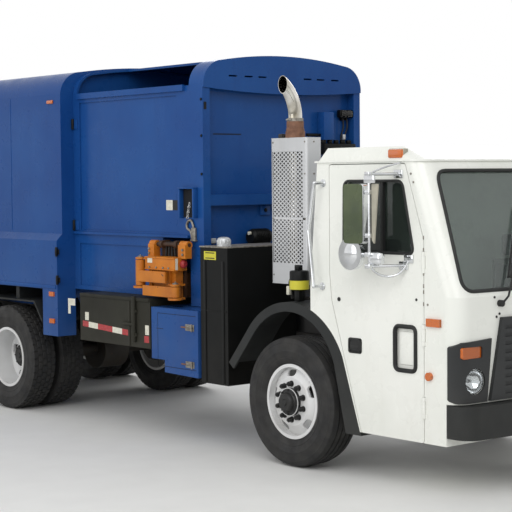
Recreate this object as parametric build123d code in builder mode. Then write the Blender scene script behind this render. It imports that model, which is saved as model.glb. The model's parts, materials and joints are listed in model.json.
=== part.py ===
"""Refuse truck with an automated side-loading arm, on a three-axle chassis with a low-entry cab.

Millimetres. +X is forward, +Y is left, +Z is up. The origin is on the ground, under the middle of
the truck's overall length and width. Places along X with a name that ends in _ahead or _behind are
counted from the front axle.
"""
from build123d import *
import math
import os

os.makedirs("parts", exist_ok=True)

# Overall layout
wheelbase = 4900.0            # front axle to the middle of the rear pair
tandem_spread = 1320.0        # between the two rear axles
front_overhang = 1950.0       # front axle to the face of the bumper
rear_overhang = 2750.0        # middle of the rear pair to the back of the tailgate
running_fit = 0.05            # radial, a shaft in its bore
working_gap = 6.0             # between pieces that move past each other
touch_gap = 0.3               # curved pieces beside their seat
front_axle_x = (wheelbase + rear_overhang - front_overhang) / 2
tandem_x = front_axle_x - wheelbase
rear_end_x = tandem_x - rear_overhang
sides = {"left": 1, "right": -1}

# Wheels and tyres
tyre_radius = 520.0
axle_height = tyre_radius
rim_radius = 298.5            # over the flange
rim_seat_radius = 285.0
rim_thickness = 12.0
rim_width = 230.0
disc_thickness = 14.0
hub_radius = 112.0
hub_bore = 45.0
hand_hole_length = 100.0
hand_hole_width = 50.0
hand_hole_circle = 226.0
hand_hole_turn = 97.0         # of the first hole, from +X towards +Z
hand_holes = 5
front_tyre_width = 300.0
front_wheel_y = 1035.0
front_disc_offset = 112.0     # disc face, outboard of the wheel's middle
rear_tyre_width = 276.0
twin_spacing = 332.0
rear_outer_y = 1080.0         # middle of an outer rear tyre

# Frame and axles
rail_outer_y = 430.0
rail_width = 85.0
rail_height = 270.0
rail_web = 12.0
rail_top_z = 960.0
rail_front_ahead = 1690.0
rail_rear_inset = 330.0
rail_bottom_z = rail_top_z - rail_height
rail_inner_y = rail_outer_y - rail_width
kingpin_y = 930.0
kingpin_radius = 25.0
boss_radius = 45.0
boss_height = 140.0
beam_thickness = 90.0
beam_height = 100.0
beam_drop = 50.0
spring_half_length = 760.0
spring_thickness = 60.0
spring_width = 75.0
housing_radius = 68.0
diff_radius = 205.0

# Cab
cab_half_width = 1200.0
cab_front_ahead = 1850.0
cab_back_ahead = 285.0
cab_back_top_ahead = 372.0
cab_top_front_ahead = 1500.0
cab_floor_z = 385.0
cab_break_z = 1440.0          # the front leans back above this height
cab_top_z = 2400.0
cab_corner = 130.0
cab_bow = 50.0
cab_wall = 60.0
roof_height = 110.0
roof_wall = 40.0
gutter = 14.0
tunnel_gap = 10.0
tunnel_wall = 50.0
glass_thickness = 8.0
bumper_top_z = 680.0
bumper_height = 235.0
bumper_back_ahead = 1700.0
bumper_wall = 12.0

# Fender outline beside the cab, ahead of the axle and height
fender_front_foot = (834.0, 356.0)
fender_front_knee = (640.0, 930.0)
fender_top = (22.0, 1314.0)
fender_rear_knee = (-445.0, 1100.0)
fender_rear_foot = (-719.0, 775.0)
fender_depth = 340.0
fender_rim = 75.0
fender_front_leg = 165.0

# Doors, ahead of the axle and height
door_gap = 6.0
door_rear_ahead = 508.0
door_front_ahead = 1480.0
door_front_break_z = 1838.0
door_top_z = 2382.0
door_top_front_ahead = 1300.0
door_waist = (528.0, 1358.0)
hinge_radius = 15.0
hinge_pin_radius = 8.0
hinge_length = 90.0
hinge_heights = (640.0, 1160.0, 1680.0)


def box_between(low, high, mode=Mode.ADD):
    """A box from its lowest corner to its highest."""
    size = [b - a for a, b in zip(low, high)]
    middle = tuple((a + b) / 2 for a, b in zip(low, high))
    with Locations(middle):
        Box(*size, mode=mode)


def side_plate(outline, y_low, y_high, mode=Mode.ADD):
    """An outline in X and Z, as thick as from y_low to y_high."""
    with BuildSketch(Plane.XZ.offset(-y_high)) as plate:
        with BuildLine():
            Polyline(*outline, close=True)
        make_face()
    extrude(plate.sketch, amount=y_high - y_low, mode=mode)


def cross_plate(outline, x_low, x_high, mode=Mode.ADD):
    """An outline in Y and Z, as thick as from x_low to x_high."""
    with BuildSketch(Plane.YZ.offset(x_low)) as plate:
        with BuildLine():
            Polyline(*outline, close=True)
        make_face()
    extrude(plate.sketch, amount=x_high - x_low, mode=mode)


def axle_cylinder(x, z, radius, y_low, y_high, mode=Mode.ADD):
    """A cylinder along Y."""
    with BuildSketch(Plane.XZ.offset(-y_high)) as disc:
        with Locations((x, z)):
            Circle(radius)
    extrude(disc.sketch, amount=y_high - y_low, mode=mode)


def post(x, y, radius, z_low, z_high, mode=Mode.ADD):
    """A cylinder along Z."""
    with BuildSketch(Plane.XY.offset(z_low)) as disc:
        with Locations((x, y)):
            Circle(radius)
    extrude(disc.sketch, amount=z_high - z_low, mode=mode)


def span(side, near, far):
    """Low and high Y of something that lies from near to far outboard on one side."""
    return (near, far) if side > 0 else (-far, -near)


def save(part, name):
    """Label a finished piece and write it."""
    part.label = name
    export_step(part, f"parts/{name}.step")


def wheel_ring(x, outline):
    """Turn an outline of lines and arcs, given in Y and radius, about an axle at x."""
    with BuildSketch(Plane((x, 0, axle_height), x_dir=(0, 1, 0), z_dir=(1, 0, 0))) as section:
        with BuildLine():
            for start, end in zip(outline, outline[1:] + outline[:1]):
                if len(end) == 3:
                    ThreePointArc(start[:2], end[2], end[:2])
                else:
                    Line(start[:2], end)
        make_face()
    revolve(section.sketch, axis=Axis((x, 0, axle_height), (0, 1, 0)))


def tyre_solid(x, middle_y, width):
    """A tyre about the axle at x."""
    half = width / 2
    bead = rim_width / 2 - rim_thickness
    above_flange = rim_radius + 2
    shoulder = half * 0.9
    edge = tyre_radius - 14
    bulge = (above_flange + edge) / 2
    wheel_ring(x, [
        (middle_y - bead, rim_seat_radius),
        (middle_y + bead, rim_seat_radius),
        (middle_y + bead, above_flange),
        (middle_y + shoulder, edge, (middle_y + half, bulge)),
        (middle_y - shoulder, edge, (middle_y, tyre_radius)),
        (middle_y - bead, above_flange, (middle_y - half, bulge)),
    ])


def rim_barrel(x, middle_y):
    """The rim under one tyre."""
    half = rim_width / 2
    inside = rim_seat_radius - rim_thickness
    wheel_ring(x, [
        (middle_y - half, inside), (middle_y + half, inside),
        (middle_y + half, rim_radius), (middle_y + half - rim_thickness, rim_radius),
        (middle_y + half - rim_thickness, rim_seat_radius),
        (middle_y - half + rim_thickness, rim_seat_radius),
        (middle_y - half + rim_thickness, rim_radius), (middle_y - half, rim_radius),
    ])


def wheel_disc(x, middle_y, face, slope):
    """The dished disc of one wheel; face and slope are signed distances from the rim's middle."""
    inside = rim_seat_radius - rim_thickness
    thickness = math.copysign(disc_thickness, face)
    root = face - slope
    flat_radius = inside * 0.7
    wheel_ring(x, [
        (middle_y + root, inside + 1), (middle_y + root + thickness, inside + 1),
        (middle_y + face, flat_radius), (middle_y + face, hub_bore + 20),
        (middle_y + face - thickness, hub_bore + 20), (middle_y + face - thickness, flat_radius - 6),
        (middle_y + root, inside - 18),
    ])


def hand_hole_cut(x, y_low, y_high):
    """The oval holes through the sloping part of a disc."""
    with BuildSketch(Plane.XZ.offset(-y_high)) as holes:
        with Locations((x, axle_height)):
            with PolarLocations(hand_hole_circle, hand_holes, start_angle=hand_hole_turn):
                SlotOverall(hand_hole_length, hand_hole_width, rotation=90)
    extrude(holes.sketch, amount=y_high - y_low, mode=Mode.SUBTRACT)


# Front wheels
hub_inner_y = kingpin_y + boss_radius + 47
hub_outer_y = front_wheel_y + front_disc_offset + 38
spindle_end_y = hub_outer_y - 24
for side_name, side in sides.items():
    with BuildPart() as tyre:
        tyre_solid(front_axle_x, side * front_wheel_y, front_tyre_width)
    save(tyre.part, f"tyre_front_{side_name}")
    with BuildPart() as rim:
        rim_barrel(front_axle_x, side * front_wheel_y)
        wheel_disc(front_axle_x, side * front_wheel_y, side * front_disc_offset, side * 70)
        axle_cylinder(front_axle_x, axle_height, hub_radius, *span(side, hub_inner_y, hub_outer_y))
        hand_hole_cut(front_axle_x, *span(side, front_wheel_y, front_wheel_y + rim_width))
        axle_cylinder(front_axle_x, axle_height, hub_bore + running_fit,
                      *span(side, hub_inner_y - 1, spindle_end_y + 4), mode=Mode.SUBTRACT)
    save(rim.part, f"rim_front_{side_name}")

# Rear twin wheels
rear_inner_y = rear_outer_y - twin_spacing
twin_middle_y = (rear_outer_y + rear_inner_y) / 2
rear_hub_inner_y = rear_inner_y - 60
rear_hub_outer_y = twin_middle_y + 130
rear_spindle_end_y = rear_hub_outer_y - 24
rear_axles_x = {"1": tandem_x + tandem_spread / 2, "2": tandem_x - tandem_spread / 2}
for axle_name, x in rear_axles_x.items():
    for side_name, side in sides.items():
        with BuildPart() as tyre:
            for middle_y in (rear_inner_y, rear_outer_y):
                tyre_solid(x, side * middle_y, rear_tyre_width)
        save(tyre.part, f"tyres_rear_{axle_name}_{side_name}")
        reach = twin_spacing / 2
        with BuildPart() as rim:
            for middle_y, way in ((rear_inner_y, 1), (rear_outer_y, -1)):
                rim_barrel(x, side * middle_y)
                wheel_disc(x, side * middle_y, side * way * reach, side * way * 70)
            axle_cylinder(x, axle_height, hub_radius, *span(side, rear_hub_inner_y, rear_hub_outer_y))
            hand_hole_cut(x, *span(side, rear_inner_y, rear_outer_y))
            axle_cylinder(x, axle_height, hub_bore + running_fit,
                          *span(side, rear_hub_inner_y - 1, rear_spindle_end_y + 4), mode=Mode.SUBTRACT)
        save(rim.part, f"rims_rear_{axle_name}_{side_name}")

# Frame: two channels open inwards, cross members, cab pads and bumper brackets
rail_front_x = front_axle_x + rail_front_ahead
rail_rear_x = rear_end_x + rail_rear_inset
cross_members = [rail_rear_x + 60, tandem_x - 900, tandem_x, tandem_x + 900,
                 front_axle_x - 2300, front_axle_x - 1450, rail_front_x - 120]
pad_ahead = (700.0, 1500.0)
pad_radius = 55.0
cab_mount_z = rail_top_z + tunnel_gap
bumper_back_x = front_axle_x + bumper_back_ahead
tow_bore_radius = 18.0
tow_eye_y = rail_inner_y + 45
tow_eye_thickness = 30.0
tow_eye_height = 70.0
with BuildPart() as frame:
    for side in sides.values():
        box_between((rail_rear_x, span(side, rail_inner_y, rail_outer_y)[0], rail_bottom_z),
                    (rail_front_x, span(side, rail_inner_y, rail_outer_y)[1], rail_top_z))
        inner = span(side, rail_inner_y - 1, rail_outer_y - rail_web)
        box_between((rail_rear_x - 1, inner[0], rail_bottom_z + rail_web),
                    (rail_front_x + 1, inner[1], rail_top_z - rail_web), mode=Mode.SUBTRACT)
    for x in cross_members:
        box_between((x - 45, rail_web - rail_outer_y - 1, rail_bottom_z + 40),
                    (x + 45, rail_outer_y - rail_web + 1, rail_top_z - 40))
    for side in sides.values():
        for ahead in pad_ahead:
            post(front_axle_x + ahead, side * (rail_inner_y + rail_outer_y) / 2, pad_radius / 2,
                 rail_top_z - 1, cab_mount_z)
        arm = span(side, rail_inner_y, rail_outer_y)
        box_between((bumper_back_x - 160, arm[0], bumper_top_z - 180),
                    (bumper_back_x, arm[1], rail_bottom_z + 1))
        lug_low_z = bumper_top_z - bumper_height - working_gap - tow_eye_height
        lug = span(side, tow_eye_y - tow_eye_thickness / 2, tow_eye_y + tow_eye_thickness / 2)
        side_plate([(bumper_back_x - 160, bumper_top_z - 179), (bumper_back_x - 160, lug_low_z),
                    (front_axle_x + front_overhang - 40, lug_low_z),
                    (front_axle_x + front_overhang - 40, lug_low_z + tow_eye_height),
                    (bumper_back_x, lug_low_z + tow_eye_height), (bumper_back_x, bumper_top_z - 179)], *lug)
        axle_cylinder(front_axle_x + front_overhang - 80, lug_low_z + tow_eye_height / 2, tow_bore_radius,
                      lug[0] - 1, lug[1] + 1, mode=Mode.SUBTRACT)
save(frame.part, "frame")

# Front axle with its leaf springs
beam_low_z = axle_height - boss_height / 2 - beam_drop
with BuildPart() as front_axle:
    half_beam = [(0, beam_low_z), (620, beam_low_z), (800, axle_height - boss_height / 2),
                 (kingpin_y, axle_height - boss_height / 2), (kingpin_y, axle_height + boss_height / 2),
                 (800, axle_height + boss_height / 2), (620, beam_low_z + beam_height),
                 (0, beam_low_z + beam_height)]
    outline = half_beam + [(-y, z) for y, z in reversed(half_beam) if y > 0]
    cross_plate(outline, front_axle_x - beam_thickness / 2, front_axle_x + beam_thickness / 2)
    for side in sides.values():
        post(front_axle_x, side * kingpin_y, boss_radius, axle_height - boss_height / 2,
             axle_height + boss_height / 2)
        post(front_axle_x, side * kingpin_y, kingpin_radius + running_fit, axle_height - boss_height,
             axle_height + boss_height, mode=Mode.SUBTRACT)
    for side in sides.values():
        low_y, high_y = span(side, rail_inner_y, rail_inner_y + spring_width)
        seat_z = beam_low_z + beam_height
        eye_z = rail_bottom_z - spring_thickness - 20
        with BuildSketch(Plane.XZ.offset(-high_y)):
            with BuildLine():
                front_eye = (front_axle_x + spring_half_length, eye_z)
                rear_eye = (front_axle_x - spring_half_length, eye_z)
                ThreePointArc(front_eye, (front_axle_x, seat_z), rear_eye)
                Line(rear_eye, (rear_eye[0], eye_z + spring_thickness))
                ThreePointArc((rear_eye[0], eye_z + spring_thickness),
                              (front_axle_x, seat_z + spring_thickness * 1.6),
                              (front_eye[0], eye_z + spring_thickness))
                Line((front_eye[0], eye_z + spring_thickness), front_eye)
            make_face()
        extrude(amount=high_y - low_y)
        box_between((front_axle_x - 70, low_y, seat_z - 20), (front_axle_x + 70, high_y, seat_z + 30))
        for way in (-1, 1):
            x = front_axle_x + way * (spring_half_length - 35)
            box_between((x - 35, low_y, eye_z + 10), (x + 35, high_y, rail_bottom_z))
save(front_axle.part, "front_axle")

# Steering knuckles
ear_gap = 6.0
ear_height = 40.0
plate_y = kingpin_y + boss_radius + 12
for side_name, side in sides.items():
    with BuildPart() as knuckle:
        top = axle_height + boss_height / 2 + ear_gap
        low = axle_height - boss_height / 2 - ear_gap
        near, far = span(side, plate_y, plate_y + 28)
        box_between((front_axle_x - 60, near, low - ear_height), (front_axle_x + 60, far, top + ear_height))
        for z in (low - ear_height, top):
            post(front_axle_x, side * kingpin_y, boss_radius, z, z + ear_height)
            near, far = span(side, kingpin_y, plate_y + 1)
            box_between((front_axle_x - boss_radius, near, z),
                        (front_axle_x + boss_radius, far, z + ear_height))
        post(front_axle_x, side * kingpin_y, kingpin_radius, low - 1, top + 1)
        axle_cylinder(front_axle_x, axle_height, hub_bore, *span(side, plate_y + 20, spindle_end_y))
    save(knuckle.part, f"knuckle_{side_name}")

# Rear axles, walking beams and saddles
with BuildPart() as rear_axles:
    for x in rear_axles_x.values():
        axle_cylinder(x, axle_height, housing_radius, -rear_hub_inner_y + 12, rear_hub_inner_y - 12)
        axle_cylinder(x, axle_height, hub_bore, -rear_spindle_end_y, rear_spindle_end_y)
        axle_cylinder(x, axle_height, diff_radius, -150, 150)
        for side in sides.values():
            drum = span(side, rear_hub_inner_y - 90, rear_hub_inner_y - 60)
            axle_cylinder(x, axle_height, diff_radius * 0.9, *drum)
    for side in sides.values():
        near, far = span(side, rail_outer_y, rail_outer_y + 90)
        box_between((rear_axles_x["2"], near, axle_height - 60), (rear_axles_x["1"], far, axle_height + 40))
        box_between((tandem_x - 130, near, axle_height), (tandem_x + 130, far, rail_bottom_z + 150))
    axle_cylinder(tandem_x, axle_height, 55, -rail_outer_y - 10, rail_outer_y + 10)
save(rear_axles.part, "rear_axles")

# Engine block
engine_front_behind = 150.0
engine_length = 1050.0
engine_half_width = 320.0
engine_low_z = 560.0
engine_top_z = 1420.0
with BuildPart() as engine:
    box_between((front_axle_x - engine_front_behind - engine_length, -engine_half_width, engine_low_z),
                (front_axle_x - engine_front_behind, engine_half_width, engine_top_z))
    chamfer(engine.edges().filter_by(Axis.X).group_by(Axis.Z)[-1], 90)
    engine_front_x = front_axle_x - engine_front_behind
    for x in (engine_front_x - 200, engine_front_x - engine_length + 200):
        box_between((x - 50, -rail_outer_y + rail_web, rail_bottom_z + 60),
                    (x + 50, rail_outer_y - rail_web, rail_bottom_z + 120))
save(engine.part, "engine")


def cab_section(z, back, front, inset):
    """The cab's plan at one height: square at the back, bowed and rounded at the front."""
    half = cab_half_width - inset
    shoulder = front - inset - cab_bow
    with BuildSketch(Plane.XY.offset(z)) as plan:
        with BuildLine():
            Line((back + inset, -half), (shoulder, -half))
            ThreePointArc((shoulder, -half), (front - inset, 0), (shoulder, half))
            Line((shoulder, half), (back + inset, half))
            Line((back + inset, half), (back + inset, -half))
        make_face()
        fillet(plan.vertices().group_by(Axis.X)[-1], cab_corner)
    return plan.sketch.face()


def cab_form(inset, low_z, high_z):
    """The cab's body between two heights; a negative inset makes it larger."""
    lean = (cab_top_front_ahead - cab_front_ahead) / (cab_top_z - cab_break_z)
    back_lean = (cab_back_top_ahead - cab_back_ahead) / (cab_top_z - cab_break_z)
    rise = high_z - cab_break_z
    back = front_axle_x + cab_back_ahead
    front = front_axle_x + cab_front_ahead
    loft([cab_section(low_z, back, front, inset), cab_section(cab_break_z, back, front, inset),
          cab_section(high_z, back + back_lean * rise, front + lean * rise, inset)], ruled=True)


def cab_skin(outer, inner, outline, back_ahead=cab_top_front_ahead - 400):
    """A skin that follows the cab's front, between two insets, inside an outline in Y and Z."""
    with BuildPart() as core:
        cab_form(inner, cab_floor_z - 1, cab_top_z + 1)
    with BuildPart() as skin:
        cab_form(outer, cab_floor_z, cab_top_z)
        add(core.part, mode=Mode.SUBTRACT)
        cross_plate(outline, front_axle_x + back_ahead, front_axle_x + cab_front_ahead + 200,
                    mode=Mode.INTERSECT)
    return skin.part


def rod(start, end, radius, mode=Mode.ADD):
    """A round bar between two points."""
    run = Vector(*end) - Vector(*start)
    with BuildSketch(Plane(start, z_dir=run.normalized())) as disc:
        Circle(radius)
    extrude(disc.sketch, amount=run.length, mode=mode)


def rounded_side(outline, radius, grow=0.0):
    """A face in X and Z with rounded corners, grown all round by a margin."""
    with BuildSketch(Plane.XZ) as face:
        with BuildLine():
            Polyline(*outline, close=True)
        make_face()
        fillet(face.vertices(), radius)
        if grow:
            offset(amount=grow, kind=Kind.INTERSECTION, mode=Mode.REPLACE)
    return face.sketch


def rounded_front(outline, radius, grow=0.0):
    """A face in Y and Z behind the cab's front, with rounded corners, grown all round by a margin."""
    with BuildSketch(Plane.YZ.offset(front_axle_x + cab_top_front_ahead - 300)) as face:
        with BuildLine():
            Polyline(*outline, close=True)
        make_face()
        fillet(face.vertices(), radius)
        if grow:
            offset(amount=grow, kind=Kind.INTERSECTION, mode=Mode.REPLACE)
    return face.sketch


def through_side(face, y_low, y_high, mode=Mode.ADD):
    """Extrude a face in X and Z from y_low to y_high."""
    extrude(face.moved(Location((0, y_high, 0))), amount=y_high - y_low, mode=mode)


def fender_outline(rim, leg):
    """The fender's outline ahead of and behind the wheel, moved inwards by its rim and front leg."""
    slant = Vector(fender_rear_foot[0] - fender_rear_knee[0], fender_rear_foot[1] - fender_rear_knee[1])
    inward = Vector(-slant.Y, slant.X).normalized() * rim
    foot = (front_axle_x + fender_front_foot[0] - leg, fender_front_foot[1])
    knee = (front_axle_x + fender_front_knee[0] - leg * 0.58, fender_front_knee[1] - leg * 0.36)
    top = (front_axle_x + fender_top[0], fender_top[1] - rim)
    rear_knee = (front_axle_x + fender_rear_knee[0] + inward.X, fender_rear_knee[1] + inward.Y)
    rear_foot = (front_axle_x + fender_rear_foot[0] + inward.X, fender_rear_foot[1] + inward.Y)
    return foot, knee, top, rear_knee, rear_foot


def fender_band(rim, leg):
    """The face between the fender's outline and the same outline moved inwards."""
    outer = fender_outline(0, 0)
    inner = fender_outline(rim, leg)
    with BuildSketch(Plane.XZ) as band:
        with BuildLine():
            Line(outer[0], outer[1])
            ThreePointArc(outer[1], outer[2], outer[3])
            Line(outer[3], outer[4])
            Line(outer[4], inner[4])
            Line(inner[4], inner[3])
            ThreePointArc(inner[3], inner[2], inner[1])
            Line(inner[1], inner[0])
            Line(inner[0], outer[0])
        make_face()
    return band.sketch


def arch_face(wall):
    """All that lies under the fender's outline, grown by a wall."""
    foot, knee, top, rear_knee, rear_foot = fender_outline(-wall, -wall)
    with BuildSketch(Plane.XZ) as arch:
        with BuildLine():
            Line(foot, knee)
            ThreePointArc(knee, top, rear_knee)
            Line(rear_knee, rear_foot)
            Line(rear_foot, (rear_foot[0], 0))
            Line((rear_foot[0], 0), (foot[0], 0))
            Line((foot[0], 0), foot)
        make_face()
    return arch.sketch


# Door outline and windows
fender_skin = 12.0
leg_lean = (fender_front_foot[0] - fender_front_knee[0]) / (fender_front_knee[1] - fender_front_foot[1])
door_foot_ahead = fender_front_foot[0] - (cab_floor_z - fender_front_foot[1]) * leg_lean + 3 * door_gap
door_outline = [
    (front_axle_x + door_rear_ahead, door_top_z),
    (front_axle_x + door_rear_ahead, door_waist[1] + 200),
    (front_axle_x + door_waist[0], door_waist[1]),
    (front_axle_x + fender_front_knee[0] + 3 * door_gap, fender_front_knee[1] + 3 * door_gap),
    (front_axle_x + door_foot_ahead, cab_floor_z),
    (front_axle_x + door_front_ahead, cab_floor_z),
    (front_axle_x + door_front_ahead, door_front_break_z),
    (front_axle_x + door_top_front_ahead, door_top_z),
]
window_rear_ahead = 660.0
window_low_z = 1736.0
window_high_z = 2260.0
window_corner = 55.0
window_outline = [
    (front_axle_x + window_rear_ahead, window_low_z),
    (front_axle_x + door_front_ahead - 93, window_low_z),
    (front_axle_x + door_top_front_ahead - 26, window_high_z),
    (front_axle_x + window_rear_ahead + 8, window_high_z),
]
peep_outline = [
    (front_axle_x + door_front_ahead - 286, 890), (front_axle_x + door_front_ahead - 78, 890),
    (front_axle_x + door_front_ahead - 78, 1210), (front_axle_x + door_front_ahead - 286, 1210),
]
peep_corner = 45.0
hinge_x = front_axle_x + door_front_ahead + door_gap / 2
hinge_y = cab_half_width + 3
hinge_clear = hinge_radius + 2
ear_length = 30.0
side_inner_y = cab_half_width - cab_wall
tunnel_half = rail_outer_y + tunnel_gap + tunnel_wall
tunnel_top_z = cab_mount_z + tunnel_wall

# Cab shell
windscreen_corner = 90.0
windscreen_outline = [(-1120, 1480), (1120, 1480), (1075, 2330), (-1075, 2330)]
lamp_y = 1040.0
lamp_z = 845.0
lamp_radius = 92.0
signal_low = (975.0, 1010.0)
signal_high = (1165.0, 1092.0)
signal_corner = 15.0
lamp_hole_back = 200.0


def headlamp_face(side, shrink, back):
    """A headlamp's round face in Y and Z, at a distance behind the cab's front."""
    with BuildSketch(Plane.YZ.offset(front_axle_x + cab_front_ahead - back)) as face:
        with Locations((side * lamp_y, lamp_z)):
            Circle(lamp_radius - shrink)
    return face.sketch


def signal_face(side, shrink, back):
    """A turn signal's face in Y and Z, at a distance behind the cab's front."""
    middle = (side * (signal_low[0] + signal_high[0]) / 2, (signal_low[1] + signal_high[1]) / 2)
    with BuildSketch(Plane.YZ.offset(front_axle_x + cab_front_ahead - back)) as face:
        with Locations(middle):
            RectangleRounded(signal_high[0] - signal_low[0] - 2 * shrink,
                             signal_high[1] - signal_low[1] - 2 * shrink, signal_corner)
    return face.sketch


with BuildPart() as cab_void:
    cab_form(cab_wall, cab_floor_z + cab_wall, cab_top_z + 1)
    through_side(arch_face(cab_wall), -cab_half_width, cab_half_width, mode=Mode.SUBTRACT)
    box_between((front_axle_x, -tunnel_half, 0),
                (front_axle_x + cab_front_ahead, tunnel_half, tunnel_top_z), mode=Mode.SUBTRACT)
with BuildPart() as cab_shell:
    cab_form(0, cab_floor_z, cab_top_z)
    add(cab_void.part, mode=Mode.SUBTRACT)
    through_side(arch_face(0), -cab_half_width - 1, cab_half_width + 1, mode=Mode.SUBTRACT)
    box_between((front_axle_x, -rail_outer_y - tunnel_gap, 0),
                (front_axle_x + cab_front_ahead + 1, rail_outer_y + tunnel_gap, cab_mount_z),
                mode=Mode.SUBTRACT)
    box_between((bumper_back_x - door_gap, -cab_half_width - 1, 0),
                (front_axle_x + cab_front_ahead + 1, cab_half_width + 1, bumper_top_z + door_gap),
                mode=Mode.SUBTRACT)
    extrude(rounded_front(windscreen_outline, windscreen_corner), amount=700, mode=Mode.SUBTRACT)
    for side in sides.values():
        opening = rounded_side(door_outline, 20, door_gap)
        through_side(opening, *span(side, side_inner_y - door_gap, cab_half_width + 1), mode=Mode.SUBTRACT)
        for z in hinge_heights:
            reach = hinge_length / 2 + ear_length + 3
            post(hinge_x, side * hinge_y, hinge_clear, z - reach, z + reach, mode=Mode.SUBTRACT)
            for low_z in (z - hinge_length / 2 - ear_length - 1, z + hinge_length / 2 + 1):
                post(hinge_x, side * hinge_y, hinge_radius, low_z, low_z + ear_length)
                low_y, high_y = span(side, cab_half_width - 14, cab_half_width + 2)
                box_between((hinge_x + 6, low_y, low_z), (hinge_x + 32, high_y, low_z + ear_length))
            post(hinge_x, side * hinge_y, hinge_pin_radius, z - hinge_length / 2 - ear_length,
                 z + hinge_length / 2 + ear_length)
        for face in (headlamp_face(side, 0, lamp_hole_back), signal_face(side, 0, lamp_hole_back)):
            extrude(face, amount=2 * lamp_hole_back, mode=Mode.SUBTRACT)
save(cab_shell.part, "cab_shell")

# Roof cap with its drip gutter
roof_back = front_axle_x + cab_back_top_ahead
roof_front = front_axle_x + cab_top_front_ahead
gutter_height = 12.0
with BuildPart() as cab_roof:
    extrude(cab_section(cab_top_z, roof_back, roof_front, -gutter), amount=gutter_height)
    loft([cab_section(cab_top_z + gutter_height, roof_back, roof_front, 10),
          cab_section(cab_top_z + roof_height, roof_back + 30, roof_front - 210, 45)], ruled=True)
    loft([cab_section(cab_top_z - 1, roof_back, roof_front, cab_wall),
          cab_section(cab_top_z + roof_height - roof_wall, roof_back + 30, roof_front - 210, cab_wall + 30)],
         ruled=True, mode=Mode.SUBTRACT)
save(cab_roof.part, "cab_roof")

# Windscreen
with BuildPart() as glass_core:
    cab_form(10 + glass_thickness, cab_floor_z - 1, cab_top_z + 1)
with BuildPart() as windscreen:
    cab_form(10, cab_floor_z, cab_top_z)
    add(glass_core.part, mode=Mode.SUBTRACT)
    extrude(rounded_front(windscreen_outline, windscreen_corner, -touch_gap), amount=700,
            mode=Mode.INTERSECT)
save(windscreen.part, "windscreen")

# Doors with their windows and hinge sleeves
for side_name, side in sides.items():
    with BuildPart() as door:
        through_side(rounded_side(door_outline, 20), *span(side, side_inner_y, cab_half_width))
        for outline, corner in ((window_outline, window_corner), (peep_outline, peep_corner)):
            through_side(rounded_side(outline, corner), *span(side, side_inner_y - 1, cab_half_width + 1),
                         mode=Mode.SUBTRACT)
        for z in hinge_heights:
            reach = hinge_length / 2 + ear_length + 3
            post(hinge_x, side * hinge_y, hinge_clear, z - reach, z + reach, mode=Mode.SUBTRACT)
            post(hinge_x, side * hinge_y, hinge_radius, z - hinge_length / 2, z + hinge_length / 2)
            low_y, high_y = span(side, cab_half_width - 14, cab_half_width + 2)
            box_between((hinge_x - 32, low_y, z - hinge_length / 2),
                        (hinge_x - 6, high_y, z + hinge_length / 2))
            post(hinge_x, side * hinge_y, hinge_pin_radius + running_fit, z - hinge_length, z + hinge_length,
                 mode=Mode.SUBTRACT)
    save(door.part, f"door_{side_name}")
    middle = cab_half_width - cab_wall / 2
    with BuildPart() as door_glass:
        for outline, corner in ((window_outline, window_corner), (peep_outline, peep_corner)):
            through_side(rounded_side(outline, corner, -touch_gap),
                         *span(side, middle - glass_thickness / 2, middle + glass_thickness / 2))
    save(door_glass.part, f"door_glass_{side_name}")

# Door mirrors: a tall flat head and a round one below it on a tube frame
mirror_y = 1450.0
mirror_head = (925.0, 1810.0, 1130.0, 2240.0)     # rear, low, front, high
mirror_depth = 45.0
round_mirror = (985.0, 1735.0, 118.0)             # ahead, height, radius
mirror_tube = 11.0
mirror_arms = [                                   # ahead and height on the frame, ahead on the door
    (1165.0, 2310.0, 1240.0), (1165.0, 1650.0, 1290.0),
]
for side_name, side in sides.items():
    with BuildPart() as mirror:
        rear, low, front, high = mirror_head
        box_between((front_axle_x + rear, span(side, mirror_y - mirror_depth, mirror_y)[0], low),
                    (front_axle_x + front, span(side, mirror_y - mirror_depth, mirror_y)[1], high))
        fillet(mirror.edges().filter_by(Axis.Y), 25)
        tube_y = side * (mirror_y - mirror_depth / 2)
        tube_x = front_axle_x + mirror_arms[0][0]
        rod((tube_x, tube_y, mirror_arms[1][1]), (tube_x, tube_y, mirror_arms[0][1]), mirror_tube)
        for ahead, z, door_ahead in mirror_arms:
            rod((tube_x, tube_y, z), (front_axle_x + door_ahead, side * cab_half_width, z), mirror_tube)
            with Locations((tube_x, tube_y, z)):
                Sphere(mirror_tube)
        for z in (low + 60, high - 60):
            rod((tube_x, tube_y, z), (front_axle_x + front - 20, tube_y, z), mirror_tube)
        ahead, z, radius = round_mirror
        axle_cylinder(front_axle_x + ahead, z, radius, *span(side, mirror_y - 40, mirror_y))
        rod((tube_x, tube_y, z), (front_axle_x + ahead, tube_y, z), mirror_tube)
        box_between((front_axle_x, -cab_half_width, 0), (tube_x + 500, cab_half_width, cab_top_z),
                    mode=Mode.SUBTRACT)
    save(mirror.part, f"mirror_{side_name}")

# Front fenders
with BuildPart() as front_fenders:
    for side in sides.values():
        through_side(fender_band(fender_skin, fender_skin),
                     *span(side, cab_half_width - fender_depth, cab_half_width))
        through_side(fender_band(fender_rim, fender_front_leg),
                     *span(side, cab_half_width - 20, cab_half_width))
save(front_fenders.part, "front_fenders")

# Front bumper, a closed tube that wraps round the corners
bumper_x = front_axle_x + front_overhang
with BuildPart() as front_bumper:
    extrude(cab_section(bumper_top_z - bumper_height, bumper_back_x, bumper_x, 0), amount=bumper_height)
    extrude(cab_section(bumper_top_z - bumper_height + bumper_wall, bumper_back_x, bumper_x, bumper_wall),
            amount=bumper_height - 2 * bumper_wall, mode=Mode.SUBTRACT)
save(front_bumper.part, "front_bumper")

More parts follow.
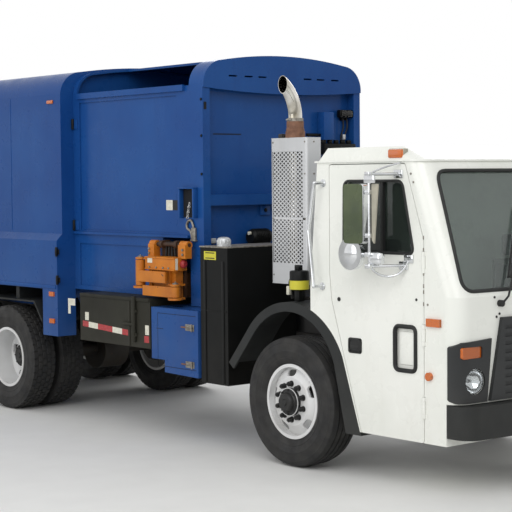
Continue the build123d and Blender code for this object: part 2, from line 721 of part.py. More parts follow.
# Grille with its bars, and the headlamp bezels beside it
grille_outline = [(-905, 700), (905, 700), (785, 1285), (-785, 1285)]
grille_depth = 28.0
bar_pitch = 58.0
bar_count = 9
bar_low_z = 738.0
bar_half_width = 760.0
bezel_outline = [(880, 1142), (1150, 1125), (1260, 1060), (1260, 760), (1180, 696), (925, 696)]
bezel_depth = 14.0
bezel_back_ahead = 1715.0
with BuildPart() as slot_boxes:
    for index in range(bar_count):
        z = bar_low_z + index * bar_pitch
        box_between((front_axle_x + cab_top_front_ahead, -bar_half_width, z),
                    (front_axle_x + cab_front_ahead + 2 * grille_depth, bar_half_width,
                     z + bar_pitch * 0.45))
with BuildPart() as bar_slots:
    add(cab_skin(-grille_depth - 1, -grille_depth / 2, grille_outline))
    add(slot_boxes.part, mode=Mode.INTERSECT)
with BuildPart() as grille:
    add(cab_skin(-grille_depth, 0, grille_outline))
    add(bar_slots.part, mode=Mode.SUBTRACT)
save(grille.part, "grille")
with BuildPart() as lamp_bezels:
    for side in sides.values():
        add(cab_skin(-bezel_depth, 0, [(side * y, z) for y, z in bezel_outline], bezel_back_ahead))
        for face in (headlamp_face(side, 0, lamp_hole_back), signal_face(side, 0, lamp_hole_back)):
            extrude(face, amount=2 * lamp_hole_back, mode=Mode.SUBTRACT)
save(lamp_bezels.part, "lamp_bezels")
lens_back = 110.0
with BuildPart() as headlamps:
    for side in sides.values():
        extrude(headlamp_face(side, touch_gap, lens_back), amount=90)
save(headlamps.part, "headlamps")

# Seats, dash and steering wheel
seat_y = 760.0
seat_width = 480.0
seat_top_z = 1100.0
seat_rear_ahead = 610.0
floor_top_z = cab_floor_z + cab_wall
with BuildPart() as seats:
    for side in sides.values():
        low_y, high_y = span(side, seat_y - seat_width / 2, seat_y + seat_width / 2)
        rear = front_axle_x + seat_rear_ahead
        box_between((rear + 60, low_y, seat_top_z - 130), (rear + 530, high_y, seat_top_z))
        box_between((rear, low_y, seat_top_z - 10), (rear + 120, high_y, seat_top_z + 720))
        box_between((rear + 260, low_y + 110, floor_top_z), (rear + 460, high_y - 110, seat_top_z - 120))
save(seats.part, "seats")
dash_rear_ahead = 1500.0
with BuildPart() as dashboard:
    side_plate([(front_axle_x + dash_rear_ahead, 1330), (front_axle_x + dash_rear_ahead + 60, 1120),
                (front_axle_x + cab_front_ahead - cab_wall - cab_bow, 1120),
                (front_axle_x + cab_front_ahead - cab_wall - cab_bow, 1400),
                (front_axle_x + dash_rear_ahead + 40, 1400)],
               -side_inner_y + 20, side_inner_y - 20)
    fillet(dashboard.edges().filter_by(Axis.Y).group_by(Axis.Z)[-1], 15)
    add(cab_void.part, mode=Mode.INTERSECT)
save(dashboard.part, "dashboard")
wheel_centre = (front_axle_x + 1370, seat_y, 1400)
wheel_lean = (-0.75, 0, 0.66)
with BuildPart() as steering_wheel:
    lean = Vector(*wheel_lean).normalized()
    with Locations(Plane(wheel_centre, z_dir=lean)):
        Torus(215, 15)
        Cylinder(45, 40)
        for turn in (0, 120, 240):
            with Locations(Rotation(0, 0, turn)):
                with Locations((110, 0, 0)):
                    Box(220, 28, 14)
    foot = Vector(*wheel_centre) - lean * 175
    rod(wheel_centre, (foot.X, foot.Y, foot.Z), 28)
    add(dashboard.part, mode=Mode.SUBTRACT)
save(steering_wheel.part, "steering_wheel")

# Grab handles on the cab's rear corners
handle_points = [(414.0, 2246.0), (345.0, 1886.0), (400.0, 1459.0)]
handle_out = 70.0
handle_radius = 14.0
with BuildPart() as grab_handles:
    for side in sides.values():
        out_y = side * (cab_half_width + handle_out)
        spots = [(front_axle_x + ahead, out_y, z) for ahead, z in handle_points]
        ends = [(front_axle_x + handle_points[0][0] + 25, side * cab_half_width, handle_points[0][1]),
                (front_axle_x + handle_points[2][0] + 25, side * cab_half_width, handle_points[2][1])]
        for start, end in zip([ends[0]] + spots, spots + [ends[1]]):
            rod(start, end, handle_radius)
        for spot in spots:
            with Locations(spot):
                Sphere(handle_radius)
    box_between((front_axle_x, -cab_half_width, 0), (front_axle_x + 1000, cab_half_width, cab_top_z),
                mode=Mode.SUBTRACT)
save(grab_handles.part, "grab_handles")

# Body: hopper ahead, storage body behind, both on sills over the rails
hopper_front_behind = 1431.0
skirt_length = 262.0
skirt_low_z = 785.0
skirt_wheel_gap = 81.0        # from the skirt to the tyre behind it
hopper_half = 942.0
hopper_wall = 60.0
hopper_top_z = 3100.0
body_low_z = 1235.0
body_half = 1085.0
body_flare_half = 1150.0
body_flare_z = 1705.0
body_eave_z = 3110.0
body_crown_z = 3390.0
body_wall = 60.0
tailgate_depth = 430.0
hopper_front_x = front_axle_x - hopper_front_behind
hopper_rear_x = tandem_x + tandem_spread / 2 + tyre_radius + skirt_wheel_gap + skirt_length
body_rear_x = rear_end_x + tailgate_depth
post_depth = 120.0
post_flange = 70.0
post_width = 80.0
arm_bay_rear_x = hopper_front_x - 520.0
arm_bay_top_z = 1770.0
sheet_x = hopper_front_x - 70.0


def arch_points(half, eave_z, crown_z):
    """Corner start, corner middle, corner end and crown of an arched roof's right half."""
    rise = crown_z - eave_z
    return ((-half, eave_z), (-half * 0.94, eave_z + rise * 0.5), (-half * 0.785, eave_z + rise * 0.77),
            (0, crown_z))


def mirrored(point):
    """The same point on the other side of the truck."""
    return (-point[0], point[1])


def arch_section(x, half, eave_z, crown_z, low_z, flare=None):
    """A face in Y and Z: straight sides, an arched top, and a wider foot where flare gives (half, z)."""
    start, corner, shoulder, crown = arch_points(half, eave_z, crown_z)
    feet = [(-half, low_z)] if flare is None else [(-flare[0], low_z), (-flare[0], flare[1]),
                                                    (-half, flare[1] + flare[0] - half)]
    right = feet + [start]
    left = [mirrored(point) for point in reversed(right)]
    with BuildSketch(Plane.YZ.offset(x)) as section:
        with BuildLine():
            Polyline(*right)
            ThreePointArc(start, corner, shoulder)
            ThreePointArc(shoulder, crown, mirrored(shoulder))
            ThreePointArc(mirrored(shoulder), mirrored(corner), mirrored(start))
            Polyline(*left)
            Line(left[-1], right[0])
        make_face()
    return section.sketch


# Hopper: open on top and at the back, with a bay for the arm at its lower front
panel_recess = 14.0
lip_depth = 26.0
with BuildPart() as hopper:
    floor_z = body_low_z + hopper_wall
    side_plate([(hopper_rear_x, body_low_z), (arm_bay_rear_x, body_low_z), (arm_bay_rear_x, arm_bay_top_z),
                (sheet_x, arm_bay_top_z), (sheet_x, hopper_top_z), (hopper_rear_x, hopper_top_z)],
               -hopper_half, hopper_half)
    side_plate([(hopper_rear_x - 1, floor_z), (arm_bay_rear_x - hopper_wall, floor_z),
                (arm_bay_rear_x - hopper_wall, arm_bay_top_z + hopper_wall),
                (sheet_x - hopper_wall, arm_bay_top_z + hopper_wall),
                (sheet_x - hopper_wall, hopper_top_z + 1), (hopper_rear_x - 1, hopper_top_z + 1)],
               -hopper_half + hopper_wall, hopper_half - hopper_wall, mode=Mode.SUBTRACT)
    box_between((sheet_x - 1, -hopper_half, body_low_z), (sheet_x + 50, hopper_half, hopper_top_z))
    beam_z = 2053.0
    box_between((sheet_x, -hopper_half, beam_z),
                (hopper_front_x + post_flange - 10, hopper_half, beam_z + 94))
    for side in sides.values():
        near, far = span(side, hopper_half - post_width, hopper_half)
        box_between((hopper_front_x - post_depth, near, body_low_z - 60),
                    (hopper_front_x + post_flange, far, hopper_top_z))
        low, high = span(side, hopper_half - panel_recess, hopper_half + 1)
        box_between((hopper_rear_x + 110, low, arm_bay_top_z + 40),
                    (hopper_front_x - post_depth - 180, high, hopper_top_z - 80), mode=Mode.SUBTRACT)
        box_between((hopper_rear_x + 90, low, body_low_z + 40),
                    (arm_bay_rear_x - 110, high, arm_bay_top_z - 90), mode=Mode.SUBTRACT)
        low, high = span(side, hopper_half, hopper_half + lip_depth)
        box_between((hopper_rear_x + 20, low, arm_bay_top_z),
                    (hopper_front_x - post_depth - 10, high, arm_bay_top_z + 22))
        box_between((hopper_rear_x + 100, low, hopper_top_z - 45),
                    (hopper_front_x - post_depth - 60, high, hopper_top_z + 8))
        low, high = span(side, rail_inner_y, rail_outer_y)
        box_between((hopper_rear_x, low, rail_top_z), (sheet_x + 50, high, body_low_z))
save(hopper.part, "hopper")

# Canopy: an arched visor over the front of the hopper and a roof over its left part
canopy_skin = 22.0
canopy_crown_z = 3377.0
canopy_eave_z = hopper_top_z + 12
visor_low_z = 3036.0
visor_end_z = 3077.0
roof_open_y = -330.0
visor_slots_y = [-610.0, -430.0, -270.0, 270.0, 430.0, 610.0]
with BuildPart() as canopy:
    extrude(arch_section(hopper_rear_x, hopper_half, canopy_eave_z, canopy_crown_z, hopper_top_z),
            amount=hopper_front_x - hopper_rear_x + post_flange)
    extrude(arch_section(hopper_rear_x - 1, hopper_half - canopy_skin, canopy_eave_z,
                         canopy_crown_z - canopy_skin, hopper_top_z - 1),
            amount=hopper_front_x - hopper_rear_x + post_flange + 2, mode=Mode.SUBTRACT)
    with BuildSketch(Plane.YZ.offset(hopper_front_x + post_flange)) as visor:
        start, corner, shoulder, crown = arch_points(hopper_half, canopy_eave_z, canopy_crown_z)
        with BuildLine():
            Line((-hopper_half, visor_end_z), start)
            ThreePointArc(start, corner, shoulder)
            ThreePointArc(shoulder, crown, mirrored(shoulder))
            ThreePointArc(mirrored(shoulder), mirrored(corner), mirrored(start))
            Line(mirrored(start), (hopper_half, visor_end_z))
            ThreePointArc((hopper_half, visor_end_z), (0, visor_low_z), (-hopper_half, visor_end_z))
        make_face()
        with Locations(*[(y, visor_end_z + 105) for y in visor_slots_y]):
            SlotOverall(100, 14, mode=Mode.SUBTRACT)
    extrude(amount=14)
    box_between((hopper_rear_x + 70, -hopper_half - 1, hopper_top_z - 2),
                (hopper_front_x - post_depth, roof_open_y, canopy_crown_z + 1), mode=Mode.SUBTRACT)
save(canopy.part, "canopy")

# Storage body, open at the back, with a way in from the hopper
hinge_spots = (-600.0, 600.0)
gate_pin_radius = 20.0
gate_pin_z = body_crown_z + 45.0
gate_pin_x = body_rear_x - working_gap / 2
gate_ear = 30.0
gate_lug_half = 28.0
ear_half = 11.0
ear_sink = 40.0               # how far an ear goes down into the roof


def roof_height(y):
    """The height of the body's roof beside its middle, between its shoulders."""
    shoulder_y = 0.785 * body_half
    drop = 0.23 * (body_crown_z - body_eave_z)
    radius = (shoulder_y ** 2 + drop ** 2) / (2 * drop)
    return body_crown_z - radius + math.sqrt(radius ** 2 - y ** 2)


with BuildPart() as body_shell:
    extrude(arch_section(body_rear_x, body_half, body_eave_z, body_crown_z, body_low_z,
                         (body_flare_half, body_flare_z)), amount=hopper_rear_x - body_rear_x)
    extrude(arch_section(body_rear_x - 1, body_half - body_wall, body_eave_z, body_crown_z - body_wall,
                         body_low_z + body_wall, (body_flare_half - body_wall, body_flare_z)),
            amount=hopper_rear_x - body_rear_x - body_wall + 1, mode=Mode.SUBTRACT)
    box_between((hopper_rear_x - body_wall - 2, -hopper_half + hopper_wall, body_low_z + hopper_wall),
                (hopper_rear_x + 1, hopper_half - hopper_wall, hopper_top_z), mode=Mode.SUBTRACT)
    for side in sides.values():
        low, high = span(side, hopper_half, body_flare_half)
        box_between((hopper_rear_x - skirt_length, low, skirt_low_z), (hopper_rear_x, high, body_low_z + 1))
        low, high = span(side, rail_inner_y, rail_outer_y)
        box_between((body_rear_x, low, rail_top_z), (hopper_rear_x, high, body_low_z + 1))
    for y in hinge_spots:
        for way in (-1, 1):
            ear_y = y + way * (gate_lug_half + 14)
            near = ear_y - ear_half
            far = ear_y + ear_half
            box_between((gate_pin_x, near, gate_pin_z - gate_ear),
                        (body_rear_x + 110, far, gate_pin_z + gate_ear))
            axle_cylinder(gate_pin_x, gate_pin_z, gate_ear, near, far)
            box_between((body_rear_x + 15, near, roof_height(ear_y) - ear_sink),
                        (body_rear_x + 110, far, gate_pin_z))
        axle_cylinder(gate_pin_x, gate_pin_z, gate_pin_radius,
                      y - gate_lug_half - 14, y + gate_lug_half + 14)
save(body_shell.part, "body_shell")

# Tailgate, hung from the roof of the body
gate_low_z = 1150.0
gate_wall = 50.0
gate_front_x = body_rear_x - working_gap
with BuildPart() as gate_envelope:
    extrude(arch_section(rear_end_x - 1, body_half, body_eave_z, body_crown_z, gate_low_z - 1),
            amount=tailgate_depth + 2)
with BuildPart() as tailgate:
    side_plate([(gate_front_x, gate_low_z), (gate_front_x, body_crown_z),
                (rear_end_x + 200, body_crown_z), (rear_end_x, 2600), (rear_end_x, 1560),
                (rear_end_x + 210, gate_low_z)], -body_half, body_half)
    add(gate_envelope.part, mode=Mode.INTERSECT)
    side_plate([(gate_front_x + 1, gate_low_z + gate_wall), (gate_front_x + 1, body_eave_z + 30),
                (rear_end_x + 150, body_eave_z + 30), (rear_end_x + gate_wall, 2560),
                (rear_end_x + gate_wall, 1600), (rear_end_x + 240, gate_low_z + gate_wall)],
               -body_half + gate_wall, body_half - gate_wall, mode=Mode.SUBTRACT)
    for y in hinge_spots:
        box_between((gate_pin_x - 95, y - gate_lug_half, roof_height(y) - ear_sink),
                    (gate_front_x, y + gate_lug_half, gate_pin_z + gate_ear))
        axle_cylinder(gate_pin_x, gate_pin_z, gate_ear, y - gate_lug_half, y + gate_lug_half)
        axle_cylinder(gate_pin_x, gate_pin_z, gate_pin_radius + running_fit, y - gate_lug_half - 1,
                      y + gate_lug_half + 1, mode=Mode.SUBTRACT)
save(tailgate.part, "tailgate")

# Packer blade with its follower plate
blade_thickness = 80.0
blade_top_z = 1900.0
packer_half = hopper_half - hopper_wall - 10
with BuildPart() as packer:
    blade_x = arm_bay_rear_x - hopper_wall - 20
    box_between((blade_x - blade_thickness, -packer_half, body_low_z + hopper_wall + touch_gap),
                (blade_x, packer_half, blade_top_z))
    box_between((blade_x - 1, -packer_half, arm_bay_top_z + hopper_wall + touch_gap),
                (sheet_x - hopper_wall - 20, packer_half, blade_top_z))
save(packer.part, "packer")

# Boxes and tanks beside the rails
box_top_z = body_low_z - 5
battery_rear_x = hopper_rear_x + 465
battery_front_x = front_axle_x - 1809
battery_low_z = 795.0
with BuildPart() as battery_box:
    box_between((battery_rear_x, -cab_half_width, battery_low_z),
                (battery_front_x, -rail_outer_y, box_top_z))
save(battery_box.part, "battery_box")
tool_top_z = box_top_z - 60
tool_outline = [                                  # ahead of the axle, height
    (-1790, 717), (-1602, 717), (-1602, 610), (-1130, 600), (-1130, tool_top_z), (-1790, tool_top_z),
]
with BuildPart() as tool_box:
    side_plate([(front_axle_x + ahead, z) for ahead, z in tool_outline], -cab_half_width, -rail_outer_y)
save(tool_box.part, "tool_box")
tank_ahead = (-1105.0, -745.0)
tank_low_z = 570.0
tank_top_z = 1718.0
tank_outer_y = -1185.0
with BuildPart() as oil_tank:
    box_between((front_axle_x + tank_ahead[0], tank_outer_y, tank_low_z),
                (front_axle_x + tank_ahead[1], -rail_outer_y, tank_top_z))
save(oil_tank.part, "oil_tank")
fuel_radius = 285.0
fuel_z = 870.0
fuel_rear_x = hopper_rear_x + 427
fuel_front_x = front_axle_x - 1700
fuel_y = rail_outer_y + 60 + fuel_radius
strap_half = 40.0
with BuildPart() as fuel_tank:
    rod((fuel_rear_x, fuel_y, fuel_z), (fuel_front_x, fuel_y, fuel_z), fuel_radius)
    for x in (fuel_rear_x + 200, fuel_front_x - 200):
        box_between((x - strap_half, rail_outer_y, fuel_z - 100), (x + strap_half, fuel_y, fuel_z + 30))
save(fuel_tank.part, "fuel_tank")

# Exhaust: silencer in its guard and a pipe that bends outboard to its mouth
stack_x = front_axle_x - 240
stack_y = -875.0
guard_half_x = 220.0
guard_half_y = 75.0
guard_low_z = 1430.0
guard_top_z = 2610.0
guard_wall = 8.0
guard_corner = 30.0
silencer_radius = 64.0
pipe_radius = 57.0
pipe_wall = 4.0
elbow_z = 2775.0
elbow_bend = 330.0
elbow_turn = math.radians(64)
mouth_out = 131.0             # from the pipe's middle to the upright cut of its mouth
bracket_y = (-850.0, -820.0)
bracket_half_x = 50.0
bracket_low_z = 1262.0
bracket_arm_height = 60.0
with BuildPart() as exhaust_guard:
    box_between((stack_x - guard_half_x, stack_y - guard_half_y, guard_low_z),
                (stack_x + guard_half_x, stack_y + guard_half_y, guard_top_z))
    fillet(exhaust_guard.edges().filter_by(Axis.Z), guard_corner)
    inner_x = guard_half_x - guard_wall
    inner_y = guard_half_y - guard_wall
    box_between((stack_x - inner_x, stack_y - inner_y, guard_low_z + guard_wall),
                (stack_x + inner_x, stack_y + inner_y, guard_top_z - guard_wall), mode=Mode.SUBTRACT)
    post(stack_x, stack_y, pipe_radius + touch_gap, guard_top_z - 20, guard_top_z + 1, mode=Mode.SUBTRACT)
    box_between((stack_x - bracket_half_x, bracket_y[0], bracket_low_z),
                (stack_x + bracket_half_x, bracket_y[1], guard_low_z + 1))
    box_between((stack_x - bracket_half_x, bracket_y[0], bracket_low_z),
                (stack_x + bracket_half_x, -engine_half_width, bracket_low_z + bracket_arm_height))
save(exhaust_guard.part, "exhaust_guard")


def elbow_point(turn):
    """A point on the middle of the bend, after a turn in radians."""
    return (stack_x, stack_y - elbow_bend * (1 - math.cos(turn)), elbow_z + elbow_bend * math.sin(turn))


with BuildPart() as exhaust_stack:
    post(stack_x, stack_y, silencer_radius, guard_low_z + guard_wall, guard_top_z - 60)
    post(stack_x, stack_y, pipe_radius, guard_top_z - 61, elbow_z)
    with BuildLine() as bend:
        ThreePointArc(elbow_point(0), elbow_point(elbow_turn / 2), elbow_point(elbow_turn))
    with BuildSketch(Plane(elbow_point(0), z_dir=(0, 0, 1))) as ring:
        Circle(pipe_radius)
        Circle(pipe_radius - pipe_wall, mode=Mode.SUBTRACT)
    sweep(ring.sketch, path=bend.line)
    box_between((stack_x - 2 * pipe_radius, stack_y - elbow_bend, elbow_z),
                (stack_x + 2 * pipe_radius, stack_y - mouth_out, elbow_z + 2 * elbow_bend),
                mode=Mode.SUBTRACT)
save(exhaust_stack.part, "exhaust_stack")

# Air cleaner on the left with its pipe across the engine
cleaner_x = front_axle_x - 420
cleaner_y = 560.0
cleaner_radius = 190.0
cleaner_top_z = 2330.0
intake_y = -420.0
intake_z = 2180.0
intake_radius = 75.0
outlet_radius = 60.0
outlet_z = engine_low_z + 400
with BuildPart() as air_cleaner:
    post(cleaner_x, cleaner_y, cleaner_radius, engine_top_z - 30, cleaner_top_z)
    post(cleaner_x, cleaner_y, outlet_radius, outlet_z, engine_top_z)
    rod((cleaner_x, cleaner_y, intake_z), (cleaner_x, intake_y, intake_z), intake_radius)
    rod((cleaner_x, intake_y, intake_z), (cleaner_x, intake_y, engine_top_z - 120), intake_radius)
    box_between((cleaner_x - outlet_radius, engine_half_width, outlet_z),
                (cleaner_x + outlet_radius, cleaner_y + outlet_radius, outlet_z + outlet_radius))
save(air_cleaner.part, "air_cleaner")

# Rear fenders with mud flaps, rear bumper and lamps
fender_z = tyre_radius * 2 + 50
fender_half = tandem_spread / 2 + tyre_radius + 60
with BuildPart() as rear_fenders:
    for side in sides.values():
        low, high = span(side, 640, body_flare_half)
        side_plate([(tandem_x - fender_half, 900), (tandem_x - fender_half + 150, fender_z),
                    (tandem_x + fender_half - 150, fender_z), (tandem_x + fender_half, 900),
                    (tandem_x + fender_half, 930), (tandem_x + fender_half - 135, fender_z + 15),
                    (tandem_x - fender_half + 135, fender_z + 15), (tandem_x - fender_half, 930)], low, high)
        for x in (tandem_x - 700, tandem_x, tandem_x + 700):
            box_between((x - 30, low + 60, fender_z + 10), (x + 30, high - 60, body_low_z))
        box_between((tandem_x - fender_half - 6, low, 330), (tandem_x - fender_half + 8, high, 925))
save(rear_fenders.part, "rear_fenders")
rear_beam_x = rail_rear_x - 150
drawbar_reach = 90.0
plate_spacing_y = 177.8
plate_spacing_z = 120.6
plate_hole_radius = 3.5
with BuildPart() as rear_bumper:
    box_between((rear_beam_x, -1100, 480), (rear_beam_x + 90, 1100, 620))
    for side in sides.values():
        low, high = span(side, rail_inner_y, rail_outer_y)
        box_between((rear_beam_x + 20, low, 500), (rear_beam_x + 90, high, rail_bottom_z + 120))
        box_between((rear_beam_x + 60, low, rail_bottom_z + 20), (rail_rear_x, high, rail_bottom_z + 120))
    box_between((rear_beam_x - drawbar_reach, -60, 530), (rear_beam_x + 1, 60, 570))
    post(rear_beam_x - drawbar_reach + 45, 0, tow_bore_radius, 529, 571, mode=Mode.SUBTRACT)
    box_between((rear_beam_x - 6, 330, 470), (rear_beam_x, 640, 630))
    with BuildSketch(Plane.YZ.offset(rear_beam_x - 7)) as plate_holes:
        with Locations((485, 550)):
            with GridLocations(plate_spacing_y, plate_spacing_z, 2, 2):
                Circle(plate_hole_radius)
    extrude(amount=40, mode=Mode.SUBTRACT)
save(rear_bumper.part, "rear_bumper")
with BuildPart() as tail_lamps:
    for y in (-980, -840, 840, 980):
        rod((rear_beam_x - 25, y, 550), (rear_beam_x, y, 550), 52)
save(tail_lamps.part, "tail_lamps")

# Amber lamps
with BuildPart() as marker_lamps:
    for side in sides.values():
        extrude(signal_face(side, touch_gap, lens_back), amount=80)
        low, high = span(side, cab_half_width, cab_half_width + 22)
        box_between((front_axle_x + 1520, low, 1227), (front_axle_x + 1650, high, 1284))
        axle_cylinder(front_axle_x + 1539, 870, 30, low, high)
        low, high = span(side, body_flare_half, body_flare_half + 15)
        for z in (1190, 930):
            box_between((hopper_rear_x - 130, low, z - 22), (hopper_rear_x - 50, high, z + 22))
save(marker_lamps.part, "marker_lamps")

# Arm: fixed guide, sliding carriage, lift link and gripper; places ahead of the axle are negative
guide_size = 240.0
guide_wall = 14.0
guide_x = front_axle_x - 1735.0
guide_reach_y = 850.0
guide_z = body_low_z + guide_size / 2
guide_hole = guide_size / 2 - guide_wall
slide_gap = 0.3
carriage_wall = 14.0
carriage_inner_y = 800.0
head_y = -hopper_half - 12
head_thickness = 34.0
head_ahead = (-1905.0, -1590.0)
lift_y = -1022.0
lift_z = 1712.0
lift_pin_radius = 18.0
lift_eye_radius = 34.0
eye_blocks_ahead = (-1850.0, -1640.0)
eye_block_half = 22.0
upright_rear = (-2009.0, -1922.0)
upright_front = (-1570.0, -1465.0)
upright_y = (lift_y - 45, lift_y + 25)
cross_ahead = (-1967.0, -1532.0)
cross_y = (lift_y - 110, lift_y + 20)
cross_low_z = 1490.0
cross_top_z = 1605.0
apron_y = (lift_y - 60, lift_y + 20)
apron_outline = [                                 # ahead of the axle, height
    (-1979, cross_low_z + 1), (-1588, cross_low_z + 1), (-1588, 1242), (-1828, 1252), (-1862, 1322),
    (-1979, 1312),
]
with BuildPart() as arm_guide:
    box_between((guide_x - guide_size / 2, -guide_reach_y, body_low_z),
                (guide_x + guide_size / 2, guide_reach_y, body_low_z + guide_size))
    box_between((guide_x - guide_hole, -guide_reach_y - 1, guide_z - guide_hole),
                (guide_x + guide_hole, guide_reach_y + 1, guide_z + guide_hole), mode=Mode.SUBTRACT)
save(arm_guide.part, "arm_guide")


def lift_eye(x_low, x_high):
    """A round eye about the lift pin."""
    with BuildSketch(Plane.YZ.offset(x_low)) as eye:
        with Locations((lift_y, lift_z)):
            Circle(lift_eye_radius)
    extrude(eye.sketch, amount=x_high - x_low)


with BuildPart() as arm_carriage:
    half = guide_hole - slide_gap
    inner = half - carriage_wall
    box_between((guide_x - half, head_y + 1, guide_z - half),
                (guide_x + half, carriage_inner_y, guide_z + half))
    box_between((guide_x - inner, head_y, guide_z - inner),
                (guide_x + inner, carriage_inner_y + 1, guide_z + inner), mode=Mode.SUBTRACT)
    box_between((front_axle_x + head_ahead[0], head_y - head_thickness, body_low_z + 12),
                (front_axle_x + head_ahead[1], head_y + 2, lift_z + 20))
    for ahead in eye_blocks_ahead:
        x_low = front_axle_x + ahead - eye_block_half
        x_high = front_axle_x + ahead + eye_block_half
        box_between((x_low, lift_y, lift_z - lift_eye_radius), (x_high, head_y, lift_z + lift_eye_radius))
        lift_eye(x_low, x_high)
    rod((front_axle_x + upright_rear[0], lift_y, lift_z), (front_axle_x + upright_front[1], lift_y, lift_z),
        lift_pin_radius)
save(arm_carriage.part, "arm_carriage")
finger_pin_radius = 20.0
finger_eye_radius = 44.0
ledge_radius = 66.0
finger_y = lift_y - 108.0
finger_length = 420.0
finger_gap = 6.0
pivot_plate = 18.0
tongue_reach = 110.0
finger_specs = {          # ahead of the axle, hub's low and high z, arm's low and high z, way it points
    "rear": (-2040.0, 1345.0, 1571.0, 1382.0, 1480.0, 1),
    "front": (-1530.0, 1262.0, 1351.0, 1262.0, 1351.0, -1),
}
with BuildPart() as arm_lift:
    for low_ahead, high_ahead in (upright_rear, upright_front):
        x_low = front_axle_x + low_ahead
        x_high = front_axle_x + high_ahead
        box_between((x_low, upright_y[0], cross_top_z - 10), (x_high, upright_y[1], lift_z))
        lift_eye(x_low, x_high)
        rod((x_low - 1, lift_y, lift_z), (x_high + 1, lift_y, lift_z), lift_pin_radius + running_fit,
            mode=Mode.SUBTRACT)
    box_between((front_axle_x + cross_ahead[0], cross_y[0], cross_low_z),
                (front_axle_x + cross_ahead[1], cross_y[1], cross_top_z))
    side_plate([(front_axle_x + ahead, z) for ahead, z in apron_outline], *apron_y)
    for ahead, hub_low_z, hub_high_z, _, _, way in finger_specs.values():
        x = front_axle_x + ahead
        tongue_low_x, tongue_high_x = sorted((x, x + way * tongue_reach))
        low_plate_z = hub_low_z - finger_gap - pivot_plate
        high_plate_z = hub_high_z + finger_gap
        for z, radius in ((low_plate_z, ledge_radius), (high_plate_z, finger_eye_radius)):
            post(x, finger_y, radius, z, z + pivot_plate)
            box_between((tongue_low_x, finger_y, z), (tongue_high_x, lift_y, z + pivot_plate))
        post(x, finger_y, finger_pin_radius, low_plate_z + 1, high_plate_z + 1)
save(arm_lift.part, "arm_lift")
for finger_name, (ahead, hub_low_z, hub_high_z, arm_low_z, arm_high_z, way) in finger_specs.items():
    x = front_axle_x + ahead
    tip_x = x + way * finger_length
    with BuildPart() as finger:
        post(x, finger_y, finger_eye_radius, hub_low_z, hub_high_z)
        with BuildSketch(Plane.XY.offset(arm_low_z)) as arm_plan:
            with BuildLine():
                Polyline((x, finger_y + 8), (tip_x, finger_y - 28), (tip_x, finger_y - 46),
                         (x + way * 60, finger_y - finger_eye_radius), (x, finger_y - finger_eye_radius),
                         close=True)
            make_face()
        extrude(arm_plan.sketch, amount=arm_high_z - arm_low_z)
        post(x, finger_y, finger_pin_radius + running_fit, hub_low_z - 1, hub_high_z + 1, mode=Mode.SUBTRACT)
    save(finger.part, f"finger_{finger_name}")
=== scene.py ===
import json
import math
import bpy
from mathutils import Matrix, Vector


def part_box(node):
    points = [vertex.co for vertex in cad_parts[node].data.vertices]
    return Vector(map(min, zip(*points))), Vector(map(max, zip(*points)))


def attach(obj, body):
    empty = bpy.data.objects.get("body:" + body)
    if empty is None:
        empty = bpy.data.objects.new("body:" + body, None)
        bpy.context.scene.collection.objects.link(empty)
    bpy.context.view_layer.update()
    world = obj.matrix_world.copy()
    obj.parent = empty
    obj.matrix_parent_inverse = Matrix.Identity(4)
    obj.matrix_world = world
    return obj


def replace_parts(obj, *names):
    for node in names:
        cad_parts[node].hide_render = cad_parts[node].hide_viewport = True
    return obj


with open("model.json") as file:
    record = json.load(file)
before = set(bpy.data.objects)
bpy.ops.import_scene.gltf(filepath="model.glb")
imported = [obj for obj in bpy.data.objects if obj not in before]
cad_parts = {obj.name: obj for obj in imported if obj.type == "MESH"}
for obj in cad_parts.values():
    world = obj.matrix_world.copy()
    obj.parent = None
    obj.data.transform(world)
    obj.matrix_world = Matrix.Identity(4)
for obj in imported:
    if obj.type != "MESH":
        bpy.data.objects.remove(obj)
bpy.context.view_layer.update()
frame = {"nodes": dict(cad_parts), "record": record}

nodes = frame["nodes"]
rimLow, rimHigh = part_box("rim_front_right")
axleX = (rimLow[0] + rimHigh[0]) / 2      # front axle
axleZ = (rimLow[2] + rimHigh[2]) / 2      # height of every axle
cabSide = 1.2                             # outer face of the doors, left and right
sides = {"right": -1, "left": 1}
print("frame loaded")


# Small tools for modelling

def pick(piece):
    bpy.ops.object.select_all(action="DESELECT")
    piece.select_set(True)
    bpy.context.view_layer.objects.active = piece


def settle(piece, name):      # its place goes into its mesh, and its object to the origin
    piece.name = name
    piece.data.name = name
    pick(piece)
    bpy.ops.object.transform_apply(location=True, rotation=True, scale=True)
    return piece


def editAll(piece):
    pick(piece)
    bpy.ops.object.mode_set(mode="EDIT")
    bpy.ops.mesh.select_mode(type="VERT")
    bpy.ops.mesh.select_all(action="SELECT")


def leaveEdit():
    bpy.ops.object.mode_set(mode="OBJECT")


def selectWhere(piece, faceTest=None, edgeTest=None):      # leaves the piece in edit mode
    pick(piece)
    bpy.ops.object.mode_set(mode="EDIT")
    bpy.ops.mesh.select_mode(type="FACE" if faceTest else "EDGE")
    bpy.ops.mesh.select_all(action="DESELECT")
    bpy.ops.object.mode_set(mode="OBJECT")
    mesh = piece.data
    if faceTest:
        for face in mesh.polygons:
            face.select = faceTest(face.center, face.normal)
    else:
        for edge in mesh.edges:
            first, second = (mesh.vertices[index].co for index in edge.vertices)
            edge.select = edgeTest(first, second)
    bpy.ops.object.mode_set(mode="EDIT")


def block(name, low, high, bevel=0.004, segments=2):
    middle = [(a + b) / 2 for a, b in zip(low, high)]
    bpy.ops.object.select_all(action="DESELECT")
    bpy.ops.mesh.primitive_cube_add(size=1, location=middle)
    piece = bpy.context.object
    piece.scale = [b - a for a, b in zip(low, high)]
    settle(piece, name)
    if bevel:
        editAll(piece)
        bpy.ops.mesh.bevel(offset=bevel, segments=segments, affect="EDGES")
        leaveEdit()
    return piece


